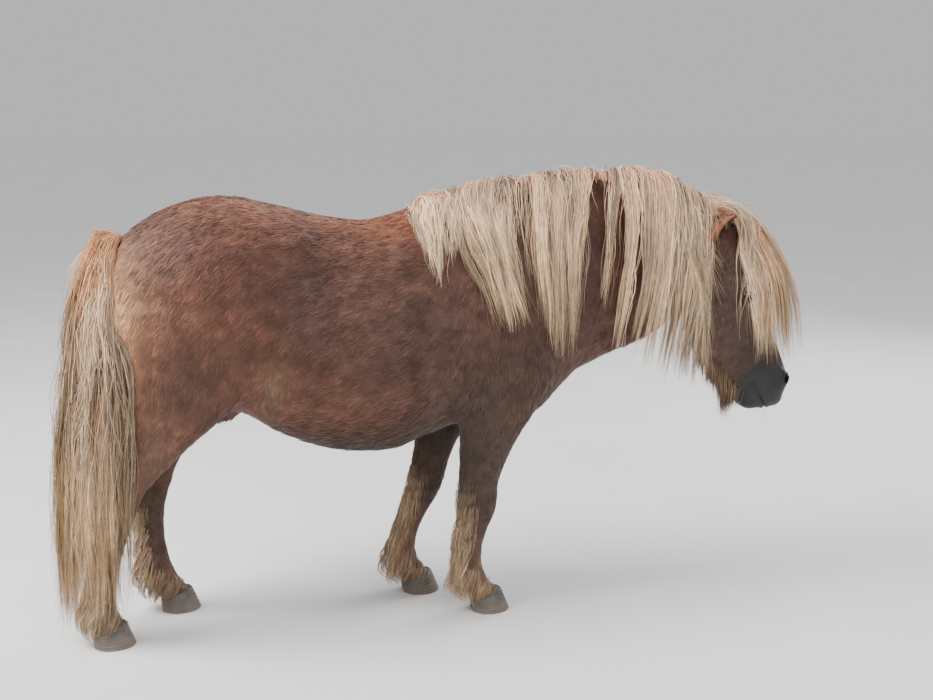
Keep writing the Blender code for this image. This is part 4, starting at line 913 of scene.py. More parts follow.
def strands(rng, path, outs, count, spread, depth, clump, wave, stop):
    """Wavy strands round a guide that draw together towards its tip, with a few that stray.

    Gives their points, the ways across and out at each, and how far out each strand lies.
    """
    total = len(path)
    end = rng.uniform(*stop, count)
    t = np.linspace(0, 1, total)[None] * end[:, None]
    place = np.clip(t * (total - 1), 0, total - 1.001)
    low = place.astype(int)
    part = (place - low)[:, :, None]
    middle = mix(path[low], path[low + 1], part)
    out = unit(mix(outs[low], outs[low + 1], part))
    along = unit(np.gradient(path, axis=0))
    along = unit(mix(along[low], along[low + 1], part))
    across = unit(np.cross(along, out))
    wild = np.where(rng.random(count) < 0.14, 1.0, 0.0)[:, None]
    off = rng.normal(0.0, 0.5, count).clip(-1.1, 1.1)[:, None] * spread * (1.0 + 0.5 * wild)
    rise = rng.random(count)[:, None] * depth
    draw = 1.0 - rng.uniform(0.7, 1.0, count)[:, None] * clump * smooth(t, 0.05, 0.9) * (1 - 0.7 * wild)
    length = np.linalg.norm(np.diff(path, axis=0), axis=1).sum()
    phase, slow = rng.uniform(0, math.tau), rng.uniform(0.14, 0.24) + 4 * length / total
    own, quick = rng.uniform(0, math.tau, count)[:, None], rng.uniform(4.5, 8.0, count)[:, None] * length / total
    grow = smooth(t * length, 0.0, 0.10)
    swing = 1.5 * wave * grow * np.sin(math.tau * t * length / slow + phase)
    curl = (0.4 + 1.8 * wild) * wave * grow * np.sin(math.tau * t * length / quick + own)
    lean = rng.normal(0, 1, count)[:, None] * 0.0022 * (1 + 2 * wild) * smooth(t, 0.2, 1.0)
    moved = across * (off * draw + swing + curl + lean)[:, :, None]
    moved += out * (rise * draw + 0.5 * np.abs(curl) + wild * 0.004 * grow)[:, :, None]
    return middle + moved, across, out, rise[:, 0]


def ribbons(name, rng, points, across, out, width, colours, uv):
    """Strands as thin flat ribbons, each turned a little on its own line."""
    count, total = points.shape[:2]
    twist = np.linspace(-0.4, 0.4, total)[None] * rng.normal(0, 1, (count, 1))
    turn = rng.normal(0.0, 0.6, count)[:, None] + twist
    side = across * np.cos(turn)[:, :, None] + out * np.sin(turn)[:, :, None]
    t = np.linspace(0, 1, total)[None]
    half = (width * rng.uniform(0.6, 1.4, count))[:, None] / 2
    half = half * (0.65 + 0.35 * np.minimum(1, 5 * t)) * np.minimum(1.0, 0.12 + 1.5 * (1 - t) ** 0.8)
    left, right = points + side * half[:, :, None], points - side * half[:, :, None]
    both = np.stack([left, right], 2)
    both[..., 2] = np.maximum(both[..., 2], FLOOR_CLEAR)
    steps = 2 * np.arange(total - 1)[None, :, None] + 2 * total * np.arange(count)[:, None, None]
    faces = (np.array((0, 1, 3, 2))[None, None] + steps).reshape(-1, 4)
    mesh = mesh_from(name, both.reshape(-1, 3), faces)
    paint(mesh, "tint", np.repeat(colours, 2, axis=1).reshape(-1, 3))
    patch = np.stack(np.broadcast_arrays(np.array((-0.0015, 0.0015))[None], 0.003 * t[0][:, None]), 2)
    corners = (fit_uv(uv)[:, None, None] + patch[None]).reshape(-1, 2)
    write_uv(mesh, corners[faces.reshape(-1)])
    return mesh


# Hair colours, and for each kind of hair how much of each it has and the colour of its roots
PALETTE = {
    "cream": srgb(238, 214, 186),
    "flax": srgb(214, 188, 154),
    "tan": srgb(180, 146, 110),
    "ash": srgb(136, 118, 104),
    "rust": srgb(202, 130, 82),
    "gold": srgb(242, 186, 134),
    "straw": srgb(206, 168, 118),
    "brown": srgb(100, 74, 58),
}
BLENDS = {
    "mane": (("cream", 0.42), ("flax", 0.32), ("tan", 0.15), ("ash", 0.08), ("brown", 0.03)),
    "forelock": (("cream", 0.40), ("flax", 0.38), ("tan", 0.14), ("ash", 0.06), ("brown", 0.02)),
    "tail": (("cream", 0.16), ("flax", 0.24), ("tan", 0.24), ("ash", 0.19), ("brown", 0.17)),
    "feather": (("cream", 0.06), ("flax", 0.34), ("tan", 0.46), ("ash", 0.10), ("rust", 0.04)),
    "beard": (("flax", 0.04), ("tan", 0.34), ("rust", 0.08), ("brown", 0.54)),
    "dark": (("brown", 0.7), ("ash", 0.3)),
}
ROOT_TINTS = {"mane": "rust", "forelock": "gold", "tail": "gold", "feather": "tan", "beard": "brown", "dark": "brown"}
TIP_FADE = np.array((0.88, 0.84, 0.74))

# Rows of the mane's locks: reach of the roots along the crest, reach of the tips along X, heights
# of the first and last tip, number of locks, how rusty their roots are, and how far they sweep
# along the crest before they fall
MANE_REAR = (
    (0.306, 0.345, 0.282, 0.310, 0.890, 0.795, 8, 1.0, -0.026),
    (0.316, 0.362, 0.300, 0.322, 0.815, 0.772, 8, 1.0, -0.020),
    (0.366, 0.378, 0.330, 0.340, 0.880, 0.850, 3, 1.0, -0.016),
    (0.388, 0.396, 0.350, 0.366, 0.860, 0.846, 2, 1.0, -0.020),
    (0.420, 0.490, 0.430, 0.478, 0.708, 0.688, 14, 1.0, -0.050),
    (0.485, 0.548, 0.472, 0.522, 0.688, 0.698, 12, 0.9, -0.045),
    (0.430, 0.530, 0.446, 0.506, 0.740, 0.684, 8, 0.8, -0.048),
    (0.592, 0.652, 0.546, 0.590, 0.700, 0.608, 13, 1.0, -0.034),
    (0.628, 0.708, 0.584, 0.636, 0.606, 0.622, 20, 0.9, -0.022),
    (0.670, 0.708, 0.620, 0.646, 0.640, 0.705, 6, 0.8, -0.017),
)
MANE_FORE = (
    (0.774, 0.784, 0.708, 0.716, 0.742, 0.716, 3, 1.0, -0.012),
    (0.782, 0.806, 0.734, 0.750, 0.650, 0.602, 4, 1.0, 0.014),
    (0.800, 0.836, 0.782, 0.796, 0.632, 0.590, 5, 1.0, 0.034),
    (0.830, 0.866, 0.812, 0.826, 0.596, 0.574, 6, 0.9, 0.038),
    (0.856, 0.896, 0.848, 0.868, 0.578, 0.548, 9, 0.8, 0.038),
    (0.890, 0.955, 0.878, 0.914, 0.572, 0.550, 14, 0.7, 0.030),
    (0.930, 1.000, 0.922, 0.962, 0.556, 0.530, 16, 0.6, 0.020),
    (0.975, 1.022, 0.966, 0.990, 0.620, 0.540, 11, 0.5, -0.020),
    (0.990, 1.034, 0.972, 0.990, 0.780, 0.640, 8, 0.5, -0.045),
)
MANE_LEFT = (
    (0.300, 0.400, 0.300, 0.360, 0.900, 0.820, 7, 0.8, -0.020),
    (0.390, 0.560, 0.400, 0.545, 0.850, 0.760, 12, 0.6, -0.010),
    (0.560, 0.800, 0.570, 0.790, 0.740, 0.700, 19, 0.3, 0.0),
    (0.800, 1.040, 0.800, 0.990, 0.700, 0.640, 18, 0.2, 0.0),
)

# How high the mane stands over the crest along X, and how far out its tips hang
MANE_RISE = ((0.28, 0.34, 0.40, 0.46, 0.80, 0.95, 1.05), (0.002, 0.006, 0.018, 0.031, 0.036, 0.032, 0.026))
MANE_FALL = ((0.30, 0.90), (0.150, 0.118))

# Lines of the forelock from the poll to the tips: its inner edge beside the right eye and its front
FORELOCK_INNER = (
    (1.070, -0.062, 0.915), (1.088, -0.078, 0.868), (1.114, -0.092, 0.812), (1.124, -0.094, 0.735), (1.140, -0.088, 0.580),
)
FORELOCK_FRONT = (
    (1.145, -0.006, 0.946), (1.177, -0.008, 0.910), (1.224, -0.014, 0.838), (1.270, -0.018, 0.745), (1.300, -0.020, 0.552),
)

# Lines of the tail from the dock to the ground: its near front edge, its back and its far side
TAIL_FRONT = (
    (-0.366, -0.040, 0.898), (-0.352, -0.118, 0.812), (-0.356, -0.170, 0.700), (-0.366, -0.186, 0.580),
    (-0.374, -0.182, 0.440), (-0.378, -0.172, 0.300), (-0.384, -0.156, 0.060),
)
TAIL_BACK = (
    (-0.430, -0.006, 0.898), (-0.464, -0.022, 0.840), (-0.486, -0.042, 0.740), (-0.507, -0.058, 0.600),
    (-0.527, -0.068, 0.450), (-0.544, -0.075, 0.250), (-0.546, -0.085, 0.012),
)
TAIL_FAR = (
    (-0.412, 0.024, 0.898), (-0.462, 0.024, 0.810), (-0.487, 0.010, 0.690), (-0.505, -0.002, 0.580),
    (-0.522, -0.012, 0.440), (-0.538, -0.022, 0.250), (-0.534, -0.034, 0.040),
)


def hair_tints(rng, count, total, blend, rust, tone):
    """A colour along each strand: mixed from the blend, rustier at the root, lighter and warmer along its upper part,
    with painted sunlight on the tail's top, duller at the tip.
    """
    names = [name for name, _ in BLENDS[blend]]
    chance = [share for _, share in BLENDS[blend]]
    table = np.array([PALETTE[n] for n in names])
    first = table[rng.choice(len(names), count, p=chance)]
    second = table[rng.choice(len(names), count, p=chance)]
    shared = table[rng.choice(len(names), p=chance)]
    own = mix(mix(first, second, rng.uniform(0, 0.4, count)[:, None]), shared, 0.35)
    t = np.linspace(0, 1, total)[None, :, None]
    colour = own[:, None] * (tone * rng.normal(1.0, 0.20, count).clip(0.5, 1.5))[:, None, None]
    colour = colour * mix(np.ones(3), TIP_FADE, smooth(t, 0.35, 1.0))
    # Upper part of each strand lighter and warmer: the hair's own peach colour on mane and forelock, and painted
    # sunlight on the top of the tail, kept near its roots
    peach_and_sunlight = mix(PALETTE["gold"], PALETTE["cream"], 0.45) * tone
    reach = (0.05, 0.40) if blend == "tail" else (0.25, 0.85)
    colour = mix(colour, peach_and_sunlight, 0.6 * min(1.0, rust) * (1 - smooth(t, *reach)))
    if blend == "tail":
        colour = mix(colour, PALETTE["straw"] * tone, 0.3 * smooth(t, 0.60, 0.95))
    root = PALETTE[ROOT_TINTS[blend]] * min(1.0, tone + 0.1)
    return mix(colour, root, rust * (1 - smooth(t, 0.06, 0.36)))


def clear_of_ears(rng, points):
    """Which strands stay clear of the ears; a few may cross them."""
    free = np.ones(len(points), bool)
    for side in (-1, 1):
        base, tip = (np.array((p.x, -side * p.y, p.z)) for p in (EAR_BASE, EAR_TIP))
        axis = tip - base
        t = np.clip(((points - base) @ axis) / axis.dot(axis), 0.35, 1.0)
        spot = base + t[:, :, None] * axis
        near = np.linalg.norm(points - spot, axis=2) < 0.030
        outside = side * (points - spot)[:, :, 1] > -0.012
        free &= ~(near & outside).any(1)
    return free | (rng.random(len(points)) < 0.06)


class Hair:
    """Collects the strands of many locks for one piece."""

    def __init__(self, tree, rng):
        self.tree, self.rng = tree, rng
        self.parts = []

    def strand(self, path, across, out, blend, tone):
        """One strand by itself."""
        tints = hair_tints(self.rng, 1, len(path), blend, 0.0, tone)
        ways = [np.tile(way, (1, len(path), 1)) for way in (across, out)]
        self.parts.append((path[None], *ways, tints))

    def lock(self, knots, steps, count, spread, depth, clump, wave, blend,
             rust=0.0, tone=1.0, stop=(0.72, 1.0), base=0.003, under=None, core=None):
        """A lock of strands along the knots, in the blend or part way to it from the coat."""
        path, outs = guide(self.tree, knots, base, steps, core)
        made, across, out, rise = strands(self.rng, path, outs, count, spread, depth, clump, wave, stop)
        for strand, high in zip(made, rise):
            before = strand.copy()
            for i, point in enumerate(strand):
                clear = (-0.004, base)[i] if i < 2 else base + 0.7 * high
                strand[i], _ = cleared(self.tree, point, clear)
            if np.abs(strand - before)[2:].max() > 0.004:
                strand[2:-1] = (strand[1:-2] + 2 * strand[2:-1] + strand[3:]) / 4
        tints = hair_tints(self.rng, count, len(path), blend, rust, tone)
        if under is not None:
            colour, share = under
            tints = mix(colour * self.rng.normal(1.0, 0.1, count)[:, None, None], tints, share)
        free = clear_of_ears(self.rng, made)
        self.parts.append((made[free], across[free], out[free], tints[free]))

    def piece(self, name, width, axis, material, *nodes):
        """Makes the ribbons of all the locks so far as one piece."""
        points, across, out, tints = (np.concatenate(part) for part in zip(*self.parts))
        uv = cylinder_uv(points[:, 0], *axis)
        mesh = ribbons(name, self.rng, points, across, out, width, tints, uv)
        return show(name, mesh, "hair", material, *nodes)


def crest_at(tree, x, y):
    point, _, _, _ = tree.ray_cast(Vector((x, y, 2.0)), Vector((0.0, 0.0, -1.0)))
    return np.array(point)


def mane(tree, material):
    """The mane in its long groups on the right side and shorter ones on the left."""
    axis = ((0.25, 0.0, 0.80), (1.10, 0.0, 0.80))
    sides = (("right_rear", -1, MANE_REAR, 11), ("right_fore", -1, MANE_FORE, 18), ("left", 1, MANE_LEFT, 12))
    for word, side, rows, seed in sides:
        rng = np.random.default_rng(seed)
        hair = Hair(tree, rng)
        for root_0, root_1, tip_0, tip_1, low_0, low_1, count, rust, sweep in rows:
            for i in range(count):
                share = (i + 0.5) / count
                x = mix(root_0, root_1, share + rng.uniform(-0.4, 0.4) / count)
                root = crest_at(tree, x, -side * rng.uniform(-0.006, 0.018))
                rise = np.interp(x, *MANE_RISE) * rng.uniform(0.55, 1.0)
                fall = np.interp(x, *MANE_FALL) + rng.uniform(0, 0.02)
                layer = rng.choice(3, p=(0.36, 0.36, 0.28))
                low = mix(low_0, low_1, share) + rng.choice((0.0, 0.015, 0.05, 0.10), p=(0.50, 0.3, 0.14, 0.06))
                tip = np.array((mix(tip_0, tip_1, share) + rng.uniform(-0.006, 0.006), side * fall, low))
                over = root + np.array((0.55 * sweep, side * 0.020, rise))
                shoulder = root + np.array((sweep, side * 0.062, 0.4 * rise - 0.016))
                bow = np.array((0.4 * sweep + rng.uniform(-0.007, 0.007), side * 0.012, 0.0))
                knots = (root, over, shoulder, mix(shoulder, tip, 0.45) + bow, tip)
                # Locks of the under-layer are painted darker and those of the top layer lighter: painted shade beneath
                # the upper locks and painted light on the top layer
                tone = np.clip(rng.normal((0.60, 1.08, 1.36)[layer], 0.26), 0.35, 1.60)
                parted = float(smooth(x, 0.76, 0.86))
                hair.lock(
                    knots, 19, rng.integers(18, 50), mix(0.017, 0.012, parted), 0.007,
                    mix(0.72, 0.92, parted), 0.0020, "mane", rust, tone,
                    (mix(0.74, 0.86, parted), 1.0), 0.003 + 0.0055 * layer,
                )
        for _ in range(60 if side < 0 else 30):
            x = rng.uniform(rows[0][0], rows[-1][1])
            root = crest_at(tree, x, -side * rng.uniform(0.0, 0.02))
            rise = np.interp(x, *MANE_RISE) + rng.uniform(-0.014, -0.001)
            drift = rng.uniform(-0.05, 0.02)
            knots = (
                root,
                root + np.array((0.4 * drift, side * 0.020, rise)),
                root + np.array((drift, side * 0.075, 0.4 * rise)),
                root + np.array((1.2 * drift, side * 0.140, rng.uniform(-0.16, -0.05))),
            )
            hair.lock(knots, 19, 2, 0.012, 0.006, 0.0, 0.0040, "mane", 0.8, 1.1)
        hair.piece("mane_" + word, 0.00135, axis, material)


def forelock(tree, material):
    """The forelock over the face, and the hair of the poll round the ears."""
    rng = np.random.default_rng(13)
    hair = Hair(tree, rng)
    inner, front = np.array(FORELOCK_INNER), np.array(FORELOCK_FRONT)
    far = inner * (1.0, -0.9, 1.0)
    count = 84
    for i in range(count):
        share = (i + rng.uniform(0, 1)) / count
        layer = rng.uniform(0, 1)
        line = mix(inner, front, share / 0.62) if share < 0.62 else mix(front, far, (share - 0.62) / 0.38)
        line = line + np.array((-0.050 * layer * (1 - abs(share - 0.62)), 0.0, 0.0)) * np.linspace(0.3, 1, 5)[:, None]
        line[1:] += np.array((rng.uniform(-0.006, 0.006), rng.uniform(-0.006, 0.006), 0.0))
        line[-1, 2] += 0.07 * rng.random() ** 1.8
        start = crest_at(tree, mix(1.035, 1.105, rng.random()), 0.45 * line[0, 1])
        over = start + np.array((0.030, 0.2 * line[0, 1], 0.022 - 0.012 * layer))
        # Locks that lie deeper, towards the face, are painted darker: painted shade under the outer locks
        tone = np.clip(rng.normal(mix(1.34, 0.80, layer), 0.30), 0.35, 1.60)
        hair.lock(
            (start, over, *line[1:]), 19, rng.integers(20, 48), 0.018, 0.010, 0.64, 0.0034, "forelock", 0.45, tone,
            (0.78, 1.0),
        )
    for side in (-1, 1):
        for i in range(24):
            start = crest_at(tree, rng.uniform(0.985, 1.060), side * rng.uniform(0.0, 0.030))
            ahead = i % 2 == 0
            over = start + np.array((0.030 if ahead else -0.014, side * 0.020, 0.026))
            shoulder = np.array((1.096 if ahead else 0.984, side * 0.072, 0.915))
            reach = (1.05, 1.13) if ahead else (0.985, 1.06)
            tip = np.array((rng.uniform(*reach), side * 0.105, rng.uniform(0.62, 0.82)))
            hair.lock((start, over, shoulder, tip), 19, 6, 0.030, 0.008, 0.1, 0.0050, "forelock", 0.6, 1.0)
    hair.piece("forelock", 0.0012, ((1.00, 0.0, 0.86), (1.14, 0.0, 0.80)), material)


def tail(tree, material):
    """The tail, from round the dock over the outside and the back of the right hind leg."""
    rng = np.random.default_rng(14)
    front, back, far = np.array(TAIL_FRONT), np.array(TAIL_BACK), np.array(TAIL_FAR)
    core = (front + back + far) / 3
    axis = ((-0.42, 0.0, 0.92), (-0.45, -0.02, 0.55))
    for word, depth, count in (("outer", 0.12, 84), ("inner", 0.62, 50)):
        hair = Hair(tree, rng)
        for i in range(count):
            share = (i + rng.uniform(0, 1)) / count
            line = mix(front, back, share / 0.6) if share < 0.6 else mix(back, far, (share - 0.6) / 0.4)
            if share < 0.6:
                line[2:, 1] -= 0.016 * math.sin(math.pi * share / 0.6)
            line = mix(line, core, depth * rng.uniform(0.3, 1.3))
            line[1:, 0] += rng.uniform(-0.006, 0.006)
            line[2:-1, 0] += rng.uniform(-0.008, 0.008, len(line) - 3)
            line[-1, 2] += 0.09 * rng.random() ** 2
            start = rng.choice((0.0, 0.0, 0.0, 0.25))
            table = spline_rows(DOCK, 6)
            row = table[int((0.22 + 0.5 * start) * (len(table) - 1))]
            root = row[:3] + unit(line[0] - np.array((-0.420, 0.0, 0.880))) * row[3] * 0.6
            knots = (root, *line[line[:, 2] < root[2] - 0.16]) if start else (root, *line)
            # Inner locks are painted darker and less warm than the outer ones: painted shade inside the tail
            tone = np.clip(rng.normal(1.16 - 0.50 * depth, 0.40), 0.35, 1.60)
            hair.lock(
                knots, 22, rng.integers(22, 54), 0.018, 0.010, 0.82, 0.0056, "tail", 1.0 - 0.5 * depth, tone,
                (0.82, 1.0), core=core,
            )
        nodes = ("tail",) if word == "outer" else ()
        hair.piece("tail_" + word, 0.00125, axis, material, *nodes)


# Rings of the feather: height, length of its locks, their number, how far round the leg they grow
# from the back in degrees, and how far they stand off
FORE_RINGS = (
    (0.318, 0.046, 8, 60, 0.004), (0.296, 0.050, 9, 65, 0.005), (0.274, 0.052, 9, 68, 0.006),
    (0.252, 0.056, 10, 70, 0.007), (0.230, 0.060, 11, 74, 0.009), (0.208, 0.064, 12, 78, 0.011),
    (0.186, 0.070, 13, 82, 0.013), (0.164, 0.078, 14, 88, 0.015), (0.142, 0.080, 15, 95, 0.017),
    (0.120, 0.076, 16, 110, 0.018), (0.100, 0.066, 16, 135, 0.014), (0.082, 0.056, 18, 165, 0.010),
    (0.066, 0.048, 22, 180, 0.008),
)
HIND_RINGS = (
    (0.264, 0.042, 8, 60, 0.004), (0.242, 0.046, 9, 65, 0.006), (0.220, 0.050, 9, 68, 0.007),
    (0.198, 0.056, 10, 72, 0.009), (0.176, 0.064, 11, 76, 0.011), (0.154, 0.072, 13, 82, 0.013),
    (0.132, 0.076, 14, 90, 0.015), (0.112, 0.070, 15, 105, 0.015), (0.094, 0.060, 16, 135, 0.012),
    (0.078, 0.052, 18, 165, 0.009), (0.064, 0.046, 21, 180, 0.008),
)


def feather(tree, material):
    """Long wavy hair behind the cannons and fetlocks and round the pasterns."""
    rng = np.random.default_rng(15)
    for name, rows, side in LEGS:
        hair = Hair(tree, rng)
        table = np.array(rows)[::-1]
        for height, drop, count, spread, bulge in FORE_RINGS if name.startswith("fore") else HIND_RINGS:
            x = float(np.interp(height, table[:, 2], table[:, 0]))
            y = side * float(np.interp(height, table[:, 2], table[:, 1]))
            for i in range(count):
                angle = math.radians(spread) * (2 * (i + rng.uniform(0.1, 0.9)) / count - 1)
                way = Vector((-math.cos(angle), math.sin(angle), 0.0))
                middle = Vector((x, y, height + rng.uniform(-0.012, 0.012)))
                root, _, _, _ = tree.ray_cast(middle + way * 0.07, -way)
                behind = max(0.0, math.cos(angle))
                root, way = np.array(root), np.array(way)
                off = bulge * (0.12 + 1.05 * behind ** 1.4) * rng.uniform(0.6, 1.2)
                length = min(drop * rng.uniform(0.8, 1.15), root[2] - 0.012)
                curl = math.sin(45.0 * height + 2.5 * angle + 2.0 * side)
                sway = np.array((-0.008 - 0.003 * curl, 0.005 * curl, 0.0)) * smooth(height, 0.30, 0.16)
                knots = (
                    root,
                    root + way * off * 0.7 + sway * 0.5 - UP * 0.33 * length,
                    root + way * off + sway - UP * 0.70 * length,
                    root + way * off * 0.3 - sway * (0.4 + 0.8 * behind) - UP * length,
                )
                blond = smooth(behind, 0.1, 0.9) if height > 0.13 else mix(0.40, 0.85, behind)
                share = blond * smooth(height, 0.34, 0.20)
                under = coat_colour(root[None], way[None])[0], float(share)
                tone = rng.normal(0.90, 0.09)
                hair.lock(
                    knots, 9, 18, 0.014, 0.003, 0.40, 0.0007, "feather", 0.0, tone, (0.55, 1.0), 0.0008, under,
                )
        axis = ((rows[-2][0], side * rows[-2][1], 0.0), (rows[-2][0] - 0.03, side * rows[-2][1], 0.3))
        hair.piece("feather_" + name, 0.0010, axis, material)


# The lower edge of the jaw's hair along X, with the beard's point
BEARD_EDGE = (
    (1.000, 1.020, 1.043, 1.068, 1.084, 1.098, 1.115),
    (0.574, 0.538, 0.500, 0.470, 0.410, 0.456, 0.482),
)


def beard(tree, material):
    """The shag of the jaw and the beard, drawn to a point."""
    rng = np.random.default_rng(16)
    hair = Hair(tree, rng)
    for i in range(150):
        x, y = mix(1.000, 1.115, (i + rng.random()) / 150), rng.uniform(-0.028, 0.028)
        root, _, _, _ = tree.ray_cast(Vector((x, y, 0.2)), Vector((0.0, 0.0, 1.0)))
        root = np.array(root)
        draw = 0.6 * smooth(x, 1.050, 1.080)
        low = min(root[2] - 0.010, float(np.interp(mix(x, 1.084, draw), *BEARD_EDGE)) + rng.uniform(0.0, 0.026))
        tip = np.array((mix(x, 1.084, draw), y * (1 - draw), low))
        knots = (root, mix(root, tip, 0.5) + np.array((0.004, 0.25 * y, 0.0)), tip)
        hair.lock(knots, 8, 18, 0.020, 0.004, 0.35, 0.0022, "beard", 0.3, rng.normal(0.50, 0.12), (0.5, 1.0), 0.001)
    hair.piece("beard", 0.0009, ((1.00, 0.0, 0.60), (1.12, 0.0, 0.55)), material)


def whiskers(tree, eyes, material):
    """Eyelashes, and the long feelers of the muzzle and chin."""
    rng = np.random.default_rng(17)
    hair = Hair(tree, rng)
    t = np.linspace(0, 1, 5)[:, None]
    for middle, normal in eyes:
        long_way, short_way = face_axes(normal, LID_TILT)
        for u in np.linspace(-0.8, 0.75, 34) * LID_HALF[0]:
            v = LID_HALF[1] * (1 - (abs(u) / LID_HALF[0]) ** 1.5) ** 0.5 + 0.0012
            flat = long_way * u + short_way * v
            lift = math.sqrt(max(0.0, (EYE_RADIUS + 0.002) ** 2 - float(flat @ flat)))
            away = unit(normal + short_way * 0.3 + long_way * u * 15)
            reach = rng.uniform(0.007, 0.011)
            path = middle + flat + normal * lift + away * reach * t
            path = path + (normal * 0.1 - short_way * 0.4) * reach * t * t
            hair.strand(path, long_way, short_way, "dark", 0.6)
    for i in range(110):
        side = -1 if i % 2 else 1
        spot = Vector((rng.uniform(1.13, 1.235), side * 0.3, rng.uniform(0.455, 0.580)))
        point, normal, _, _ = tree.ray_cast(spot, Vector((0.0, -side, 0.0)))
        if point is None:
            continue
        reach = rng.uniform(0.012, 0.036)
        way = unit(np.array(normal) + np.array((0.35, 0.0, -0.5)))
        path = np.array(point) + way * reach * t - UP * 0.35 * reach * t * t
        hair.strand(path, unit(np.cross(way, UP)), UP, "dark", 0.45)
    hair.piece("whiskers", 0.0006, ((1.0, 0.0, 0.7), (1.25, 0.0, 0.5)), material)


def new_material(name):
    """A material with its shader, and a way to add and join nodes."""
    made = bpy.data.materials.new(name)
    made.use_nodes = True
    tree = made.node_tree
    shader = tree.nodes["Principled BSDF"]

    def node(kind, values=(), **links):
        item = tree.nodes.new(kind)
        for key, value in dict(values).items():
            if hasattr(item, key):
                setattr(item, key, value)
            else:
                item.inputs[key].default_value = value
        for key, source in links.items():
            tree.links.new(source, item.inputs[key.replace("_", " ")])
        return item

    def link(source, name_in):
        tree.links.new(source, shader.inputs[name_in])

    return made, shader, node, link


def noise(node, vector, scale, detail=3.0, rough=0.55):
    return node("ShaderNodeTexNoise", {"Scale": scale, "Detail": detail, "Roughness": rough}, Vector=vector)


def ranged(node, value, low, high, start=0.3, end=0.7):
    item = node("ShaderNodeMapRange", {"From Min": start, "From Max": end, "To Min": low, "To Max": high}, Value=value)
    return item.outputs["Result"]


def times(node, colour, value):
    """The colour times a number, which may run over 1."""
    item = node("ShaderNodeVectorMath", {"operation": "MULTIPLY"})
    tree = item.id_data
    tree.links.new(colour, item.inputs[0])
    tree.links.new(value, item.inputs[1])
    return item.outputs["Vector"]


def hair_material(name, fine, rough, specular, sheen):
    """Hair or coat: the painted tint, mottled over the body and broken up along each tuft."""
    made, shader, node, link = new_material(name)
    place = node("ShaderNodeTexCoord").outputs["Object"]
    tint = node("ShaderNodeAttribute", {"attribute_name": "tint"}).outputs["Color"]
    mottle = ranged(node, noise(node, place, 7.0, 4.0).outputs["Fac"], 0.84, 1.16)
    patchy = ranged(node, noise(node, place, 38.0, 2.0).outputs["Fac"], 0.86, 1.12)
    grain = noise(node, place, fine, 2.0).outputs["Fac"]
    colour = times(node, times(node, times(node, tint, mottle), patchy), ranged(node, grain, 0.85, 1.15))
    link(colour, "Base Color")
    link(ranged(node, grain, rough - 0.08, rough + 0.08), "Roughness")
    bump = node("ShaderNodeBump", {"Strength": 0.25, "Distance": 0.0006}, Height=grain)
    link(bump.outputs["Normal"], "Normal")
    shader.inputs["Specular IOR Level"].default_value = specular
    shader.inputs["Sheen Weight"].default_value = sheen
    shader.inputs["Sheen Roughness"].default_value = 0.4
    return made


def skin_material():
    """Short coat seen between the tufts, and bare grained hide on muzzle, lids and lips."""
    made, shader, node, link = new_material("skin")
    place = node("ShaderNodeTexCoord").outputs["Object"]
    tint = node("ShaderNodeAttribute", {"attribute_name": "tint"}).outputs["Color"]
    bare = node("ShaderNodeAttribute", {"attribute_name": "bare"}).outputs["Fac"]
    mottle = ranged(node, noise(node, place, 7.0, 4.0).outputs["Fac"], 0.84, 1.16)
    patchy = ranged(node, noise(node, place, 38.0, 2.0).outputs["Fac"], 0.86, 1.12)
    stretched = node("ShaderNodeMapping", {"Scale": (1.0, 1.0, 0.28)}, Vector=place).outputs["Vector"]
    hairs = noise(node, stretched, 520.0, 3.0).outputs["Fac"]
    colour = times(node, times(node, times(node, tint, mottle), patchy), ranged(node, hairs, 0.78, 1.15))
    link(colour, "Base Color")
    rough = node("ShaderNodeMix", {"data_type": "FLOAT"})
    rough.inputs[2].default_value, rough.inputs[3].default_value = 0.72, 0.50
    rough.id_data.links.new(bare, rough.inputs[0])
    link(rough.outputs[0], "Roughness")
    grain = node("ShaderNodeTexVoronoi", {"Scale": 420.0}, Vector=place).outputs["Distance"]
    wrinkle = noise(node, place, 160.0, 3.0).outputs["Fac"]
    hide = node("ShaderNodeMath", {"operation": "MULTIPLY"})
    hide.id_data.links.new(grain, hide.inputs[0])
    hide.id_data.links.new(wrinkle, hide.inputs[1])
    height = node("ShaderNodeMix", {"data_type": "FLOAT"})
    for source, socket in ((bare, 0), (hairs, 2), (hide.outputs[0], 3)):
        height.id_data.links.new(source, height.inputs[socket])
    bump = node("ShaderNodeBump", {"Strength": 0.6, "Distance": 0.0010}, Height=height.outputs[0])
    link(bump.outputs["Normal"], "Normal")
    shader.inputs["Specular IOR Level"].default_value = 0.35
    shader.inputs["Sheen Weight"].default_value = 0.10
    return made


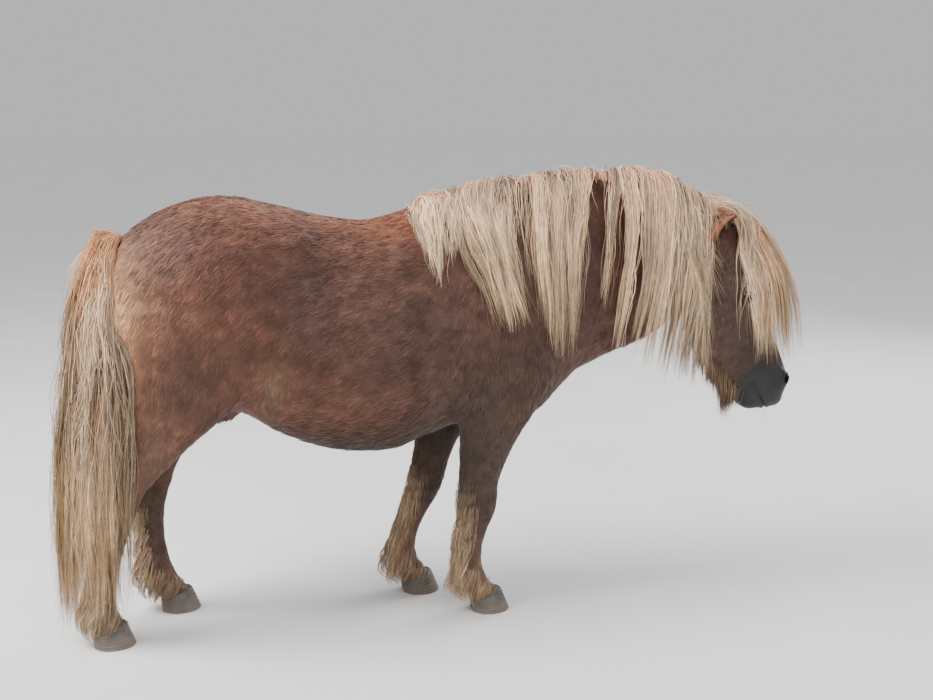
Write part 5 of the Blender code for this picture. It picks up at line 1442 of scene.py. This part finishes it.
def horn_material():
    """Hoof wall: growth rings, fine upright grain and dust near the ground."""
    made, shader, node, link = new_material("horn")
    place = node("ShaderNodeTexCoord").outputs["Object"]
    apart = node("ShaderNodeSeparateXYZ", Vector=place)
    wobble = noise(node, place, 24.0, 3.0).outputs["Fac"]
    rings = node("ShaderNodeTexWave", {"bands_direction": "Z", "Scale": 52.0, "Distortion": 2.5, "Detail": 2.0}, Vector=place)
    upright = node("ShaderNodeMapping", {"Scale": (1.0, 1.0, 0.12)}, Vector=place).outputs["Vector"]
    grain = noise(node, upright, 420.0, 3.0).outputs["Fac"]
    ramp = node("ShaderNodeValToRGB", Fac=wobble)
    ramp.color_ramp.elements[0].position, ramp.color_ramp.elements[1].position = 0.34, 0.68
    ramp.color_ramp.elements[0].color = (*srgb(72, 68, 66), 1.0)
    ramp.color_ramp.elements[1].color = (*srgb(112, 104, 96), 1.0)
    streaked = times(node, ramp.outputs["Color"], ranged(node, grain, 0.80, 1.15))
    ringed = times(node, streaked, ranged(node, rings.outputs["Fac"], 0.88, 1.06, 0.0, 1.0))
    dust = node("ShaderNodeMix", {"data_type": "RGBA"})
    dust.id_data.links.new(ranged(node, apart.outputs["Z"], 0.55, 0.0, 0.0, 0.035), dust.inputs[0])
    dust.id_data.links.new(ringed, dust.inputs[6])
    dust.inputs[7].default_value = (*srgb(132, 116, 98), 1.0)
    link(dust.outputs[2], "Base Color")
    link(ranged(node, grain, 0.50, 0.70), "Roughness")
    rough_wall = node("ShaderNodeMath", {"operation": "ADD"})
    rough_wall.id_data.links.new(rings.outputs["Fac"], rough_wall.inputs[0])
    rough_wall.id_data.links.new(grain, rough_wall.inputs[1])
    bump = node("ShaderNodeBump", {"Strength": 0.5, "Distance": 0.0012}, Height=rough_wall.outputs[0])
    link(bump.outputs["Normal"], "Normal")
    return made


def eye_material():
    """A dark brown iris round a level pupil, darker at its rim, under a wet clear coat."""
    made, shader, node, link = new_material("eye")
    place = node("ShaderNodeTexCoord").outputs["Object"]
    wide = node("ShaderNodeMapping", {"Scale": (1.0, 2.1, 0.0)}, Vector=place).outputs["Vector"]
    round_way = node("ShaderNodeMapping", {"Scale": (1.0, 1.0, 0.0)}, Vector=place).outputs["Vector"]
    pupil = node("ShaderNodeVectorMath", {"operation": "LENGTH"})
    radius = node("ShaderNodeVectorMath", {"operation": "LENGTH"})
    pupil.id_data.links.new(wide, pupil.inputs[0])
    radius.id_data.links.new(round_way, radius.inputs[0])
    fibres = noise(node, place, 700.0, 3.0).outputs["Fac"]
    iris = node("ShaderNodeValToRGB", Fac=ranged(node, radius.outputs["Value"], 0.0, 1.0, 0.0, 0.0180))
    stops = ((0.0, (36, 24, 16)), (0.55, (46, 30, 20)), (0.72, (20, 15, 12)), (0.86, (40, 32, 30)))
    while len(iris.color_ramp.elements) < len(stops):
        iris.color_ramp.elements.new(0.5)
    for element, (position, colour) in zip(iris.color_ramp.elements, stops):
        element.position = position
        element.color = (*srgb(*colour), 1.0)
    fibrous = times(node, iris.outputs["Color"], ranged(node, fibres, 0.7, 1.3))
    dark = node("ShaderNodeMix", {"data_type": "RGBA"})
    dark.id_data.links.new(ranged(node, pupil.outputs["Value"], 1.0, 0.0, 0.0085, 0.0100), dark.inputs[0])
    dark.id_data.links.new(fibrous, dark.inputs[6])
    dark.inputs[7].default_value = (*srgb(10, 10, 14), 1.0)
    link(dark.outputs[2], "Base Color")
    shader.inputs["Roughness"].default_value = 0.12
    shader.inputs["Specular IOR Level"].default_value = 0.25
    shader.inputs["Coat Weight"].default_value = 0.25
    shader.inputs["Coat Roughness"].default_value = 0.03
    return made


def make_eye(word, middle, normal, material):
    """An eyeball with its clear bulge in front, turned so that its own Z looks out."""
    work = bmesh.new()
    bmesh.ops.create_uvsphere(work, u_segments=40, v_segments=28, radius=EYE_RADIUS)
    for vertex in work.verts:
        flat = math.hypot(vertex.co.x, vertex.co.y)
        if vertex.co.z > 0:
            vertex.co.z += 0.0006 * math.exp(-((flat / 0.0085) ** 4))
    mesh = bpy.data.meshes.new("eyeball_" + word)
    work.to_mesh(mesh)
    work.free()
    mesh.shade_smooth()
    long_way, short_way = face_axes(normal, math.radians(-12.0))
    turn = Matrix([(*column, 0.0) for column in (long_way, np.cross(normal, long_way), normal)]).to_3x3()
    item = show("eyeball_" + word, mesh, "eye", material, "eye_" + word)
    item.matrix_world = Matrix.Translation(Vector(middle + SHIFT)) @ turn.transposed().to_4x4()
    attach(item, "root")


def make_hoof(name, rows, side, material):
    """A hoof wall with growth rings, a bevelled ground edge and heel bulbs, over a flat sole.

    Gives its points and faces.
    """
    out, middle_x = rows[-2][1], rows[-2][0]
    rise, mean = 0.012, 0.042
    columns, levels = 64, 30
    turns = np.arange(columns) * math.tau / columns
    c, s = np.cos(turns), np.sin(turns)
    points = []
    for level in range(levels + 1):
        t = level / levels
        length = mix(0.0505, 0.0410, t)
        width = mix(0.0436, 0.0380, t)
        ring = 0.0007 * math.sin(t * 34.0) * (1 - t) ** 0.3
        edge = -0.0016 * (1 - min(1.0, t / 0.05)) - 0.0030 * max(0.0, (t - 0.93) / 0.07)
        x = middle_x + 0.012 * (1 - t) + (length + ring + edge) * c * (1 - 0.12 * np.maximum(0, -c))
        y = side * out + (width + ring + edge) * s
        cleft = 0.006 * np.exp(-((s / 0.18) ** 2)) * (c < 0)
        z = (mean + rise * c) * t
        points.append(np.stack([x + cleft, y, z], 1))
    base = (points[0] - points[0].mean(0)) * 0.82 + points[0].mean(0)
    inner = base.copy()
    inner[:, 2] = 0.0030
    cap = (points[-1] - points[-1].mean(0)) * 0.6 + points[-1].mean(0)
    stack = np.array([inner * (0, 0, 0) + inner.mean(0), inner, base, *points, cap, cap * 0 + cap.mean(0)])
    total = len(stack)
    faces = []
    for row in range(total - 1):
        for i in range(columns):
            j = (i + 1) % columns
            a, b = row * columns, (row + 1) * columns
            faces.append((a + i, a + j, b + j, b + i))
    mesh = mesh_from(name, stack.reshape(-1, 3), faces)
    work = bmesh.new()
    work.from_mesh(mesh)
    bmesh.ops.remove_doubles(work, verts=work.verts, dist=1e-6)
    bmesh.ops.dissolve_degenerate(work, edges=work.edges, dist=1e-7)
    bmesh.ops.recalc_face_normals(work, faces=work.faces)
    work.to_mesh(mesh)
    work.free()
    mesh.shade_smooth()
    mesh.set_sharp_from_angle(angle=math.radians(40))
    limb, word = name.split("_")[1:]
    show(name, mesh, "horn", material, f"{limb}_hoof_{word}")
    return stack.reshape(-1, 3), faces


def make_ear(word, side, material):
    """A cupped ear, open to the front and the side, with a rolled edge and a wide foot."""
    base = Vector((EAR_BASE.x, -side * EAR_BASE.y, EAR_BASE.z))
    tip = Vector((EAR_TIP.x, -side * EAR_TIP.y, EAR_TIP.z))
    axis = tip - base
    open_way = Vector((0.76, side * 0.62, -0.20))
    open_way = (open_way - axis * open_way.dot(axis) / axis.length_squared).normalized()
    across = axis.normalized().cross(open_way).normalized()
    rows, columns = 26, 22
    points, shade = [], []
    for row in range(rows):
        t = -0.30 + 1.30 * row / (rows - 1)
        u = max(0.0, t)
        width = max(EAR_HALF * max(0.0, math.sin(math.pi * (0.30 + 0.66 * u))) ** 0.75, 0.0016)
        width *= 1.0 if t > 0 else 1.0 + 0.5 * t
        cup = 1.35 - 0.50 * u
        for column in range(columns):
            part = column / (columns - 1) - 0.5
            turn = part * math.radians(250 - 110 * u)
            roll = 1.0 + 0.10 * math.sin(abs(part) * math.tau) * (1 - u)
            off = across * math.sin(turn) * width * roll - open_way * math.cos(turn) * width * cup
            points.append(base + axis * t + off + open_way * 0.006 * u * u)
            shade.append(t)
    faces = []
    for row in range(rows - 1):
        for column in range(columns - 1):
            a = row * columns + column
            faces.append((a, a + 1, a + columns + 1, a + columns))
    mesh = mesh_from("ear_skin_" + word, [tuple(p) for p in points], faces)
    item = bpy.data.objects.new("ear", mesh)
    bpy.context.scene.collection.objects.link(item)
    wall = item.modifiers.new("wall", "SOLIDIFY")
    wall.thickness = 0.0028
    wall.offset = 0.0
    more = item.modifiers.new("smooth", "SUBSURF")
    more.levels = 1
    bpy.context.view_layer.update()
    mesh = bpy.data.meshes.new_from_object(item.evaluated_get(bpy.context.evaluated_depsgraph_get()))
    bpy.data.objects.remove(item)
    mesh.name = "ear_skin_" + word
    mesh.shade_smooth()
    points, normals, _ = arrays(mesh)
    points = points - SHIFT
    centre = np.array(base) + ((points - np.array(base)) @ np.array(axis) / axis.length_squared)[:, None] * np.array(axis)
    outward = ((points - centre) * normals).sum(1) > 0
    # The back of the ear is orange and darkens towards the opening, painted shade where it turns into the cup; the
    # inside is dark hide with painted shade in the cup
    rim = smooth(((points - centre) @ np.array(open_way)), -0.004, 0.012)
    colours = np.where(outward[:, None], mix(srgb(152, 88, 52), srgb(108, 66, 46), rim[:, None]), srgb(70, 52, 44))
    paint(mesh, "tint", colours)
    mesh.attributes.new("bare", "FLOAT", "POINT")
    show("ear_skin_" + word, mesh, "coat", material, "ear_" + word)
    return points, normals, triangles_of(mesh), outward, unit(np.array(axis)), colours


def light_all_round():
    """A soft sky, paler overhead, that meets the floor at the horizon without a line."""
    world = bpy.data.worlds.new("studio")
    bpy.context.scene.world = world
    world.use_nodes = True
    nodes, links = world.node_tree.nodes, world.node_tree.links
    place = nodes.new("ShaderNodeTexCoord")
    apart = nodes.new("ShaderNodeSeparateXYZ")
    ramp = nodes.new("ShaderNodeValToRGB")
    links.new(place.outputs["Generated"], apart.inputs[0])
    links.new(apart.outputs["Z"], ramp.inputs["Fac"])
    links.new(ramp.outputs["Color"], nodes["Background"].inputs["Color"])
    ramp.color_ramp.elements[0].position, ramp.color_ramp.elements[1].position = 0.12, 0.60
    ramp.color_ramp.elements[0].color = (0.75, 0.755, 0.77, 1.0)
    ramp.color_ramp.elements[1].color = (0.90, 0.92, 0.96, 1.0)
    nodes["Background"].inputs["Strength"].default_value = 0.80


def add_stage():
    """A pale floor, soft light from all round, and the camera at the photograph's angle."""
    work = bmesh.new()
    bmesh.ops.create_circle(work, cap_ends=True, segments=96, radius=60.0)
    mesh = bpy.data.meshes.new("floor")
    work.to_mesh(mesh)
    work.free()
    floor = bpy.data.objects.new("floor", mesh)
    bpy.context.scene.collection.objects.link(floor)
    made, shader, node, link = new_material("floor")
    place = node("ShaderNodeTexCoord").outputs["Object"]
    speck = ranged(node, noise(node, place, 3.0, 4.0).outputs["Fac"], 0.97, 1.03)
    pale = node("ShaderNodeRGB")
    pale.outputs[0].default_value = (0.84, 0.83, 0.81, 1.0)
    link(times(node, pale.outputs[0], speck), "Base Color")
    shader.inputs["Roughness"].default_value = 0.9
    mesh.materials.append(made)
    light_all_round()
    for name, energy, size, place, aim in (
        ("key", 320.0, 2.4, (-2.8, -0.3, 3.8), (0.0, 0.0, 0.6)),
        ("front", 90.0, 4.0, (1.5, -4.5, 3.2), (0.0, 0.0, 0.6)),
        ("rim", 90.0, 2.5, (3.2, 2.0, 2.6), (0.4, 0.0, 0.8)),
    ):
        lamp = bpy.data.lights.new(name, "AREA")
        lamp.energy = energy
        lamp.size = size
        item = bpy.data.objects.new(name, lamp)
        bpy.context.scene.collection.objects.link(item)
        item.location = place
        item.rotation_euler = (Vector(aim) - Vector(place)).to_track_quat("-Z", "Y").to_euler()
    camera = bpy.data.cameras.new("camera")
    camera.lens = 50.01
    camera.sensor_width = 36.0
    item = bpy.data.objects.new("camera", camera)
    bpy.context.scene.collection.objects.link(item)
    item.location = (-0.629, -3.0, 1.2)
    item.rotation_euler = (math.radians(90 - 10.49), 0.0, math.radians(-13.0))
    bpy.context.scene.camera = item


# The coat's pieces: the slope of the planes that part neck and head, and each piece's tufts
NECK_LINE = ((0.285, 0.985), (0.610, 0.500))
HEAD_LINE = ((1.030, 0.975), (0.950, 0.670))
COAT = (("torso_right", 52000), ("torso_left", 46000), ("neck", 30000), ("head", 42000), ("legs", 44000))


def ahead_of(points, line):
    """Which points lie in front of the slanting line."""
    (top_x, top_z), (low_x, low_z) = line
    return points[:, 0] > top_x + (points[:, 2] - top_z) * (low_x - top_x) / (low_z - top_z)


def coat_region(points):
    """The number of the coat's piece that each point belongs to."""
    region = np.where(points[:, 1] < 0, 0, 1)
    fore = (points[:, 2] < 0.408) & (points[:, 0] > 0.20)
    hind = (points[:, 2] < 0.474) & (points[:, 0] < -0.15)
    region[fore | hind] = 4
    region[ahead_of(points, NECK_LINE) & ~fore] = 2
    region[ahead_of(points, HEAD_LINE)] = 3
    return region


def coat(mesh, eyes, nostrils, ears, material):
    """Short tufts over the whole skin, in a few pieces, each with its own unwrap."""
    points, normals, _ = arrays(mesh)
    corners = triangles_of(mesh)
    middles = points[corners].mean(1)
    region = coat_region(middles)
    open_skin = np.ones(len(corners))
    for middle, normal in eyes:
        open_skin *= 1.0 - near_any(middles, [middle + normal * 0.012], 0.0185)
    for spot, normal, side in nostrils:
        open_skin *= 1.0 - near_any(middles, [spot - normal * 0.004], 0.0135)
    open_skin *= 1.0 - 0.999 * (middles[:, 2] < 0.034)
    open_skin *= 1.0 - smooth(muzzle_share(middles), 0.35, 0.85)
    dense = mix(1.0, 2.4, smooth(middles[:, 0], 1.00, 1.10))
    few = 1.0
    for number, (name, count) in enumerate(COAT):
        rng = np.random.default_rng(20 + number)
        weight = (region == number) * open_skin * dense
        roots, ways = scatter(rng, points, normals, corners, weight, int(count * few))
        length = coat_length(roots, ways)
        lie = lie_of(roots, ways)
        colours = coat_colour(roots, ways)
        if name == "head":
            for spots, spot_normals, spot_corners, outward, axis, tints in ears:
                part = outward[spot_corners].all(1) * 1.0 + 0.25
                more, more_ways = scatter(rng, spots, spot_normals, spot_corners, part, int(1500 * few))
                tree_index = ((more[:, None] - spots[None, ::7]) ** 2).sum(2).argmin(1) * 7
                flat = axis - more_ways * (more_ways @ axis)[:, None]
                roots, ways = np.vstack([roots, more]), np.vstack([ways, more_ways])
                lie = np.vstack([lie, unit(flat)])
                length = np.concatenate([length, np.full(len(more), 0.0085)])
                colours = np.vstack([colours, tints[tree_index] * 1.1])
        width = 0.0008 + 0.036 * length
        lift = mix(0.16, 0.12, smooth(length, 0.008, 0.020))
        if name == "legs":
            uv = leg_uv(roots)
        elif name == "head":
            uv = cylinder_uv(roots, (1.00, 0.0, 0.86), (1.18, 0.0, 0.48))
        else:
            uv = cylinder_uv(roots, (-0.40, 0.0, 0.72), (1.00, 0.0, 0.82))
        made = tufts("coat_" + name, rng, roots, ways, lie, length, width, lift, colours, uv)
        show("coat_" + name, made, "coat", material)


def main():
    add_stage()
    mesh, eyes, nostrils = make_skin()
    points, normals, _ = arrays(mesh)
    tree = tree_of(mesh)
    colours = coat_colour(points, normals)
    # Painted shade: the hollows of the nostrils and round the eyes are painted near black; the same places also count
    # as bare hide
    painted_hollow_shade = np.zeros(len(points))
    for spot, normal, side in nostrils:
        painted_hollow_shade = np.maximum(painted_hollow_shade, np.clip(1.9 * bell(points, spot - normal * 0.014, (0.013, 0.014, 0.017)), 0, 1))
    for middle, normal in eyes:
        rim = bell(points, middle + normal * 0.012, (0.017, 0.017, 0.017))
        painted_hollow_shade = np.maximum(painted_hollow_shade, 0.75 * np.clip(1.6 * rim, 0, 1))
    colours = mix(colours, srgb(17, 14, 14), painted_hollow_shade[:, None])
    bare = np.clip(0.9 * muzzle_share(points) + painted_hollow_shade, 0, 1)
    # Skin under the coat is painted a fifth darker than bare hide: painted shade down between the tufts
    paint(mesh, "tint", colours * mix(0.80, 1.0, bare)[:, None])
    mesh.attributes.new("bare", "FLOAT", "POINT").data.foreach_set("value", bare.astype(np.float32))
    skin_look = skin_material()
    coat_look = hair_material("coat", 900.0, 0.58, 0.30, 0.15)
    hair_look = hair_material("hair", 500.0, 0.42, 0.45, 0.10)
    horn_look = horn_material()
    eye_look = eye_material()

    body = mesh.copy()
    body.name = "skin"
    moved, _, _ = arrays(body)
    put_points(body, moved + SHIFT)
    body.shade_smooth()
    legs = [f"{word}_leg_{side}" for word in ("fore", "hind") for side in ("right", "left")]
    show("skin", body, "coat", skin_look, "torso", "neck", "head", *legs)
    ears = []
    for side, word in ((-1, "right"), (1, "left")):
        ears.append(make_ear(word, side, skin_look))
    for (middle, normal), word in zip(eyes, ("right", "left")):
        make_eye(word, middle, normal, eye_look)
    walls = [make_hoof("horn_" + name, rows, side, horn_look) for name, rows, side in LEGS]
    mane(tree, hair_look)
    forelock(tree, hair_look)
    tail(tree, hair_look)
    feather(tree_of(mesh, walls), hair_look)
    beard(tree, hair_look)
    whiskers(tree, eyes, hair_look)
    coat(mesh, eyes, nostrils, ears, coat_look)


main()
